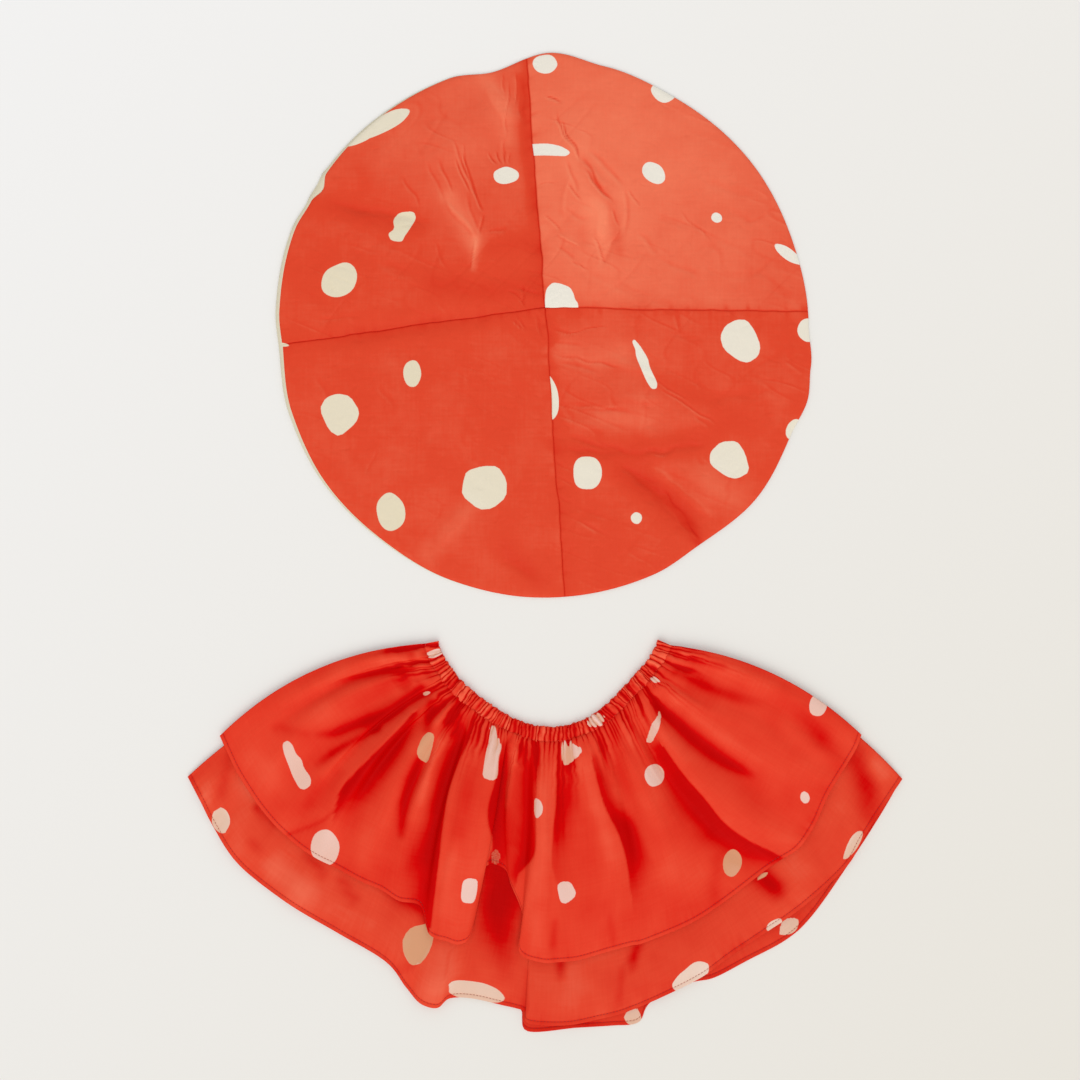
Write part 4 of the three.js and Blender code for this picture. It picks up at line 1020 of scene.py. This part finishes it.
def makeTier(tier):
    # one tier: its places, its height with bands pressed in, its hem, and its colours with painted shade and
    # light
    share, down = tierGrid(tier["folds"], tier["columns"], tier["rows"])
    x, y, length = tierPlaces(tier["folds"], share, down)
    deep = foldAndShadeBands(x, y, tier["bands"])
    deep = np.where(deep > 0, 1.1 * deep, 0.6 * deep)
    z = tier["level"](down) + tier["rise"](share, down) - tier["bandDepth"] * np.clip(deep, -1, 1)
    if tier["gathered"]:
        fromStart = down * length
        z = z + 0.3 * np.exp(-down / 0.025) - 0.9 * np.exp(-fromStart / 6) - 2.2 * np.exp(-fromStart / 1.1)
    toEdge = (1 - down) * length
    hemWay = np.concatenate([[0], np.cumsum(np.hypot(np.diff(x[:, -1]), np.diff(y[:, -1])))])
    hem, pucker = hemShape(toEdge, hemWay[:, None], tier["seed"])
    z = z + hem
    spot, tone = spotField(x, y, tier["spots"], share)
    # Painted shade in the bands, in the valleys, in the puckers, over the whole tier by its shade, in the
    # groove of the hem's stitching and in the grooves of the gathers, and painted light on ridges and crests;
    # the doubled hem changes by hemTone and the tone is a little uneven.
    paintedShadeAndTone = deep + np.clip(valleyDepth(z, x, y, 18) * 0.1, -0.15, 0.45) + 0.35 * pucker + tier["shade"]
    paintedShadeAndTone = paintedShadeAndTone + 0.5 * np.exp(-((toEdge - 3.5) / 0.7) ** 2) + tier["hemTone"] * smooth((3 - toEdge) / 0.8)
    if tier["gathered"]:
        gathers = paintedGatherShade(share, down)
        paintedShadeAndTone = paintedShadeAndTone + gathers
        spot = spot - 5.0 * np.maximum(0, 0.6 - rucheProfile(share)) * np.exp(-down / 0.1)
    paintedShadeAndTone = paintedShadeAndTone + 0.18 * noiseField(x, y, 34, tier["seed"] + 5) + 0.1 * noiseField(x, y, 15, tier["seed"] + 6)
    place = np.stack(np.broadcast_arrays(hemWay[:, None], -toEdge), -1)
    points = np.stack([x, y, z], -1)
    name = "silk_" + tier["node"]
    piece = addPiece(name, points, gridFaces(*x.shape)[:, ::-1], tier["material"], place,
                     {"spot": spot, "tone": tone, "paintedShadeAndTone": np.clip(paintedShadeAndTone, -1, 1.5)})
    doubled = smooth((4.0 - toEdge) / 1.0)
    giveThickness(piece, cloth["thickness"], doubled, cloth["hemThickness"])
    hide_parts(tier["node"])
    stitchLine = np.array([[np.interp(-hemSeam["fromEdge"], -edge, line[:, k]) for k in range(3)]
                           for edge, line in zip(toEdge, points)])
    stitches = addStitches(name + "_hem_stitches", stitchLine, redThread, "red_silk", **hemSeam["stitches"])


def layer(count):
    # the middle of the cloth that lies on count layers
    return count * cloth["layerStep"] + cloth["wall"] / 2


def flatLayer(down):
    # on the table all the way down
    return layer(0) + 0 * down


def noRise(share, down):
    # no folds, as the tier is hidden
    return 0 * down


def steppedLayer(count, start, end):
    # a layer lower past the hem of the tier behind
    return lambda down: layer(count) - cloth["layerStep"] * smooth((down - start) / (end - start))


def outerRise(share, down):
    # a quarter sine up to the crest, then a smooth run to the height at the hem, with the
    # gathers of the waist on top
    crest, hem = rowsAt(frontOuterFolds, "crest", share, True), rowsAt(frontOuterFolds, "hem", share, True)
    climb = crest * np.sin(math.pi / 2 * np.clip(down / skirt["crestAt"], 0, 1))
    fall = blend(crest, hem, smooth((down - skirt["crestAt"]) / (1 - skirt["crestAt"])))
    body = np.where(down < skirt["crestAt"], climb, fall)
    ripple = 0.5 * noiseLine(share * 1000 + 6 * np.sin(down * 9), 14, 16) * smooth(down / 0.3)
    return body + looseGathers(share, down) + np.maximum(-0.4, ripple)


def innerRise(share, down):
    # the height at the hem, reached smoothly over the last quarter, with a low ripple
    hem = rowsAt(frontInnerFolds, "hem", share, True)
    ripple = 0.35 * noiseLine(share * 1000 + 5 * np.sin(down * 8), 16, 17)
    return hem * smooth((down - 0.76) / 0.24) + ripple * smooth((down - 0.7) / 0.2)


def backRise(share, down):
    # a low ripple alone
    return 0.25 * noiseLine(share * 1000, 22, 18) * smooth(down / 0.3)


# Folds of the short tier: deep bands between its pleats, painted shade that also presses the cloth down, and
# paler ridges, painted light that lifts it.
outerBands = rowsOf("width depth side through", [
    (3.4, 0.5, 0, [(-141, -100), (-120, -98)]),
    (5.5, [0.9, 0.9, 0.85, 0.7, 0.2], 1, [(-120, -112), (-140, -113), (-158, -117), (-174, -121),
     (-186, -125)]),
    (8, [0.6, 0.5, 0.2], 0, [(-130, -121), (-153, -133), (-180, -146)]),
    ([5, 6.5, 6.5, 6, 5, 4], [1.2, 1.2, 1.2, 1.0, 0.8, 0.3], 0, [(-111, -131), (-132, -148), (-148, -157),
     (-171, -164), (-190, -171), (-203, -172)]),
    (4.2, [0.8, 0.8, 0.8, 0.3], 0, [(-151, -167), (-171, -178), (-190, -189), (-203, -199)]),
    ([5, 9, 15, 18, 16, 9], [1.2, 1.3, 1.3, 1.35, 1.2, 0.6], 1, [(-118, -154), (-131, -169), (-148, -186),
     (-171, -209), (-182, -223), (-188, -242)]),
    (1.8, 0.35, 0, [(-188, -240), (-202, -251), (-230, -262)]), (5, 0.8, 0, [(-102, -150), (-105, -168)]),
    ([4, 6.5, 6, 4], [0.8, 1.2, 1.0, 0.5], 0, [(-111, -190), (-120, -212), (-126, -234), (-129, -262)]),
    (8, 0.9, 0, [(-78, -144), (-82, -168)]),
    ([10, 14, 14, 17, 21, 18, 12], [0.9, 1.1, 1.2, 1.3, 1.35, 1.2, 0.9], -1, [(-68, -175), (-77, -194),
     (-87, -223), (-92, -252), (-96, -286), (-100, -318), (-103, -345)]),
    (3.5, [-0.6, -0.7, -0.3], 0, [(-95, -178), (-103, -203), (-111, -234)]),
    ([8, 18, 22, 24, 24, 20], [0.9, 1.1, 1.1, 1.1, 1.2, 1.2], 1, [(-39, -184), (-43, -211), (-49, -233),
     (-50, -249), (-46, -270), (-50, -288)]),
    (4, [-0.4, -0.5, -0.2], 0, [(-29, -190), (-32, -215), (-34, -235)]),
    ([6, 12, 14, 14, 12, 8, 6], [0.7, 0.9, 0.9, 1.0, 1.0, 0.8, 0.5], -1, [(-7, -181), (-8, -213),
     (-9, -246), (-9, -270), (-12, -283), (-24, -297), (-26, -305)]),
    ([8, 13, 12, 10, 7], [0.5, 1.05, 0.95, 0.5, 0.2], 1, [(12, -200), (11, -229), (8, -258), (7, -286),
     (11, -304)]),
    ([6, 10, 16, 18, 14], [0.9, 1.2, 1.25, 1.1, 0.5], 1, [(43, -196), (53, -233), (67, -262), (74, -286),
     (77, -312)]),
    ([8, 15, 20, 21, 17, 10, 6], [0.9, 1.2, 1.3, 1.3, 1.25, 1.0, 0.6], -1, [(106, -184), (123, -208),
     (142, -230), (159, -251), (180, -267), (204, -279), (216, -285)]),
    ([4, 6, 7.5, 7.5, 6, 4], [1.0, 1.25, 1.2, 1.1, 0.9, 0.3], 0, [(101, -146), (118, -162), (132, -175),
     (153, -191), (174, -203), (186, -209)]),
    (5.5, [0.6, 0.7, 0.6, 0.2], 0, [(118, -117), (146, -130), (170, -139), (189, -144)]),
    (4, 0.5, 0, [(132, -104), (159, -111)]),
    (10, [0.2, 0.5, 0.7, 0.4], 0, [(212, -136), (232, -156), (247, -175), (262, -196)]),
    (7, 0.3, 0, [(153, -286), (153, -322)]), (3.5, 0.35, 0, [(9, -340), (7, -362)]),
    (4, 0.3, 0, [(58, -336), (62, -360)]), (5, 0.25, 0, [(-241, -166), (-214, -171)]),
    (6, 0.2, 0, [(-202, -215), (-212, -234)]),
    # paler ridges of painted light, and a few more bands of painted shade
    (11, -0.4, 0, [(-202, -146), (-218, -157)]), (12, -0.35, 0, [(-264, -195), (-241, -211)]),
    (5, -0.4, 0, [(-156, -176), (-179, -201)]), (5, -0.3, 0, [(-202, -243), (-233, -256)]),
    (8, -0.35, 0, [(-156, -249), (-163, -286)]),
    (8, [0.3, 0.45, 0.3], 0, [(-66, -205), (-73, -230), (-78, -258)]),
    (10, 0.35, 0, [(-121, -258), (-121, -292)]), (7, -0.15, 0, [(-82, -280), (-86, -331)]),
    (8, [-0.3, -0.5, -0.5, -0.4, -0.3], 0, [(0, -205), (-1, -240), (-3, -277), (-12, -322), (-9, -358)]),
    (6.5, -0.4, 0, [(30, -201), (40, -223), (50, -249), (59, -280)]),
    (5, -0.3, 0, [(66, -223), (86, -255), (97, -280)]),
    (5, -0.25, 0, [(118, -140), (150, -168), (190, -195)]),
    (14, -0.2, 0, [(190, -160), (205, -200), (200, -240)]), (12, -0.2, 0, [(104, -304), (60, -330)]),
])

# Folds of the long tier, as painted shade and light that also shape its cloth a little, with the painted
# shade that lies under the short one's pleats.
innerBands = rowsOf("width depth side through", [
    ([22, 21, 21, 19, 13], [1.5, 1.5, 1.4, 1.15, 0.3], 0, [(-38, -270), (-39, -296), (-41, -322),
     (-42, -349), (-36, -384)]),
    ([8, 10, 10, 8], [0.8, 1.1, 1.2, 1.0], 0, [(-140, -305), (-126, -318), (-108, -327), (-101, -340)]),
    (9, [0.6, 0.4, 0.2], -1, [(-101, -353), (-117, -380), (-130, -388)]),
    (14, [-0.6, -0.9, -0.9], 0, [(-84, -364), (-88, -385), (-100, -404)]),
    (2.2, 0.35, 0, [(-87, -373), (-89, -390)]), (5, 0.3, -1, [(-15, -386), (-15, -420)]),
    (14, -0.3, 0, [(0, -399), (42, -399)]), (5, 0.8, 0, [(14, -374), (14, -386)]),
    (5, 0.8, 0, [(83, -362), (78, -378)]), (4, 0.3, 0, [(69, -386), (67, -414)]),
    (10, 1.1, 0, [(186, -292), (207, -311)]),
    (12, [0.5, 0.9, 0.6], 0, [(268, -183), (288, -217), (290, -243)]),
    (8, -0.8, 0, [(299, -200), (303, -207)]), (5, 0.35, 0, [(-284, -193), (-287, -211), (-292, -228)]),
    (6, -0.35, 0, [(-276, -211), (-264, -226)]), (4, 0.9, 0, [(-258, -238), (-242, -252)]),
    (7, -0.7, 0, [(-306, -220), (-304, -230)]), (4, 0.35, 0, [(-264, -270), (-246, -281)]),
    (14, -0.9, 0, [(-242, -292), (-216, -316)]), (5, 0.6, 0, [(-212, -280), (-200, -298)]),
    (6, 0.45, 0, [(-182, -304), (-172, -322)]), (9, -0.3, 0, [(-190, -330), (-160, -345)]),
])


def outerLevel(down):
    # three layers up, a little lower towards the hem
    return layer(3) - 0.7 * smooth((down - 0.8) / 0.2)


tiers = [
    {"node": "outer_tier_front", "columns": 500, "rows": 78, "seed": 41, "bandDepth": 0.9, "shade": 0.13,
     "hemTone": -0.05, "gathered": True, "folds": frontOuterFolds, "level": outerLevel, "rise": outerRise,
     "spots": outerSpots, "bands": outerBands, "material": skirtSilk,
     "sheet": {"flat": (0.7, 0.35), "area": 0.14, "rests_on": ["inner_tier_front"]}},
    {"node": "inner_tier_front", "columns": 400, "rows": 46, "seed": 43, "bandDepth": 0.4, "shade": 0.08,
     "hemTone": 0.22, "gathered": False, "folds": frontInnerFolds, "level": steppedLayer(2, 0.91, 1),
     "rise": innerRise, "spots": innerSpots, "bands": innerBands, "material": longTierSilk,
     "sheet": {"flat": (0.76, 0.38), "area": 0.175, "rests_on": ["inner_tier_back"]}},
    {"node": "inner_tier_back", "columns": 280, "rows": 26, "seed": 45, "bandDepth": 0.0, "shade": 0.3,
     "hemTone": 0.22, "gathered": False, "folds": backInnerFolds, "level": steppedLayer(1, 0.84, 0.92),
     "rise": backRise, "spots": backInnerSpots, "bands": (), "material": longTierSilk,
     "sheet": {"flat": (0.76, 0.38), "area": 0.175, "rests_on": ["outer_tier_back"]}},
    {"node": "outer_tier_back", "columns": 180, "rows": 16, "seed": 47, "bandDepth": 0.0, "shade": 0.2,
     "hemTone": 0.2, "gathered": False, "folds": backOuterFolds, "level": flatLayer, "rise": noRise,
     "spots": (), "bands": (), "material": skirtSilk, "sheet": {"flat": (0.6, 0.3), "area": 0.11}},
]
for tier in tiers:
    makeTier(tier)
print("tiers made")

casingSpots = [
    oval(-99, -100, 8, 3.6, 0.1, 15), oval(46, -160, 9, 6, 0.2, 24, 0.1),
    oval(100, -123, 4.5, 2.6, 0.1, -25),
]


def makeCasing(node, bottom, steps, around, ruches, spots):
    # A flat tube along the neckline. Ruches lift its top, push its free edge out in small
    # scallops, and lean a little across its width. Its lower side lies on the tier.
    share = np.linspace(0, 1, steps)[:, None]
    across, height = tubeSection(around, skirt["casingWidth"] / 2, skirt["casingHeight"] / 2, 2.2)
    across, height = across[None], height[None]
    along, over = np.broadcast_arrays(share * skirt["stripLength"], across)
    lean = 0.004 * np.sin(share * 23 + 1.3) * (across / 7)
    lean = lean + skirt["crumple"] * noiseField(along, over, 5.5, 27)
    lean = lean + 0.45 * skirt["crumple"] * noiseField(along, over, 2.6, 28)
    crest = ruches(share + lean)
    inner = smooth((-across - 2) / 5)
    scallop = 1.9 * inner * (crest - 0.45) + 0.7 * inner * noiseLine(share, 0.006, 23)
    below = skirt["casingWidth"] / 2 + across - scallop
    x, y = waistPoint(np.broadcast_to(share, below.shape), below)
    top = smooth((height + 0.6) / 1.2)
    z = bottom + skirt["casingHeight"] / 2 + height + top * (skirt["tubeLift"] * crest - 1.2)
    spot, tone = spotField(x, y, spots)
    spot = spot - 4.5 * np.maximum(0, 0.62 - crest)
    # Painted shade in the grooves between the ruches and painted light on their crests, painted shade and
    # light by the crumples, and painted shade over the whole casing, with a little uneven tone.
    crushed = noiseField(along, over, 3.0, 29)
    paintedShadeAndTone = top * (0.6 - crest) * 3.2 + 0.2 + 0.4 * noiseLine(share, 0.02, 24) + 0.45 * top * crushed
    place = np.stack(np.broadcast_arrays(share * neckLength * 1.6, np.arange(around)[None] * 34 / around), -1)
    points = np.stack([x, y, z], -1)
    piece = addPiece("silk_" + node, points, gridFaces(steps, around, roundV=True), casingSilk,
                     place, {"spot": spot, "tone": tone, "paintedShadeAndTone": np.clip(paintedShadeAndTone, -1, 1.4)})
    giveThickness(piece, cloth["casingThickness"])
    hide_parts(node)


def evenRuche(share):
    # the ruches behind: a plain cosine
    return 0.6 + 0.2 * np.cos(share * 36 * 2 * math.pi)


makeCasing("waist_casing_front", 3.5, 721, 20, ruche, casingSpots)
makeCasing("waist_casing_back", 0.15, 289, 16, evenRuche, ())

waistSeam = {
    "fromEdge": 12.0, "base": 4.95, "height": 2.0,  # mm below the neckline, and over the ruches
    "stitches": {"pitch": 2.6, "length": 1.5, "radius": 0.15, "lift": 0.12},
}
stitchShare = np.linspace(0.002, 0.998, 900)
lineX, lineY = waistPoint(stitchShare, waistSeam["fromEdge"])
lineZ = waistSeam["base"] + waistSeam["height"] * ruche(stitchShare)
waistLine = np.stack([lineX, lineY, lineZ], -1)
addStitches("waist_gathering_stitches", waistLine, waistThread, "red_silk", **waistSeam["stitches"])
print("casings made")

# Floor, light and camera

studio = {
    "paper": "#D2D2D2", "paperWarm": "#C9C6BF",
    "paperGlow": 0.35,  # the paper glows a little, painted light that makes shadows on it faint
    "floorHalf": 9.0,  # metres, as the four that follow
    "cameraHeight": 2.2, "viewWidth": 0.972, "viewX": -0.0045, "viewY": 0.0018,
    "fill": 0.72, "window": 1.25,
}


def makePaper():
    # Smooth matt paper that glows a little, with painted falloff of the light: a little warmer and darker
    # from the upper left to the lower right.
    material, tree = newMaterial("smooth white paper")
    split = addNode(tree, "SeparateXYZ", {}, {"Vector": addNode(tree, "TexCoord").outputs["Object"]})
    difference = addNode(tree, "Math", {"operation": "SUBTRACT"},
                         {0: split.outputs["X"], 1: split.outputs["Y"]})
    share = addNode(tree, "Math", {"operation": "MULTIPLY_ADD", "use_clamp": True, 1: 0.5, 2: 0.5},
                    {0: difference})
    light, warm = linearColour(studio["paper"]), linearColour(studio["paperWarm"])
    colours = addNode(tree, "Mix", {"data_type": "RGBA", 6: light, 7: warm}, {0: share}).outputs[2]
    face = addNode(tree, "BsdfPrincipled", {"Roughness": 0.9, "Specular IOR Level": 0.2,
                                            "Emission Strength": studio["paperGlow"]},
                   {"Base Color": colours, "Emission Color": colours})
    addNode(tree, "OutputMaterial", {}, {"Surface": face})
    return material


floorMesh = bpy.data.meshes.new("floor")
half = studio["floorHalf"]
corners = [(-half, -half, 0), (half, -half, 0), (half, half, 0), (-half, half, 0)]
floorMesh.from_pydata(corners, [], [(0, 1, 2, 3)])
floorMesh.materials.append(makePaper())
floor = bpy.data.objects.new("floor", floorMesh)
bpy.context.scene.collection.objects.link(floor)

# A wide window far off to the upper right, as soft as the sky.
windowLight = bpy.data.lights.new("window", "SUN")
windowLight.energy = studio["window"]
windowLight.angle = math.radians(55)
windowLight.color = linearColour("#FFFBF6")[:3]
window = bpy.data.objects.new("window", windowLight)
window.rotation_euler = (math.radians(38), 0, math.radians(-38))
window.rotation_mode = "ZYX"
bpy.context.scene.collection.objects.link(window)

world = bpy.data.worlds.new("studio")
world.use_nodes = True
sky = world.node_tree.nodes["Background"]
sky.inputs["Color"].default_value = linearColour("#FFFFFF")
sky.inputs["Strength"].default_value = studio["fill"]
bpy.context.scene.world = world

cameraData = bpy.data.cameras.new("camera")
cameraData.sensor_width = 36
cameraData.lens = 36 * studio["cameraHeight"] / studio["viewWidth"]
camera = bpy.data.objects.new("camera", cameraData)
camera.location = (studio["viewX"], studio["viewY"], studio["cameraHeight"])
bpy.context.scene.collection.objects.link(camera)
bpy.context.scene.camera = camera
bpy.context.scene.view_settings.view_transform = "Standard"
bpy.context.scene.view_settings.look = "None"
print("studio made")
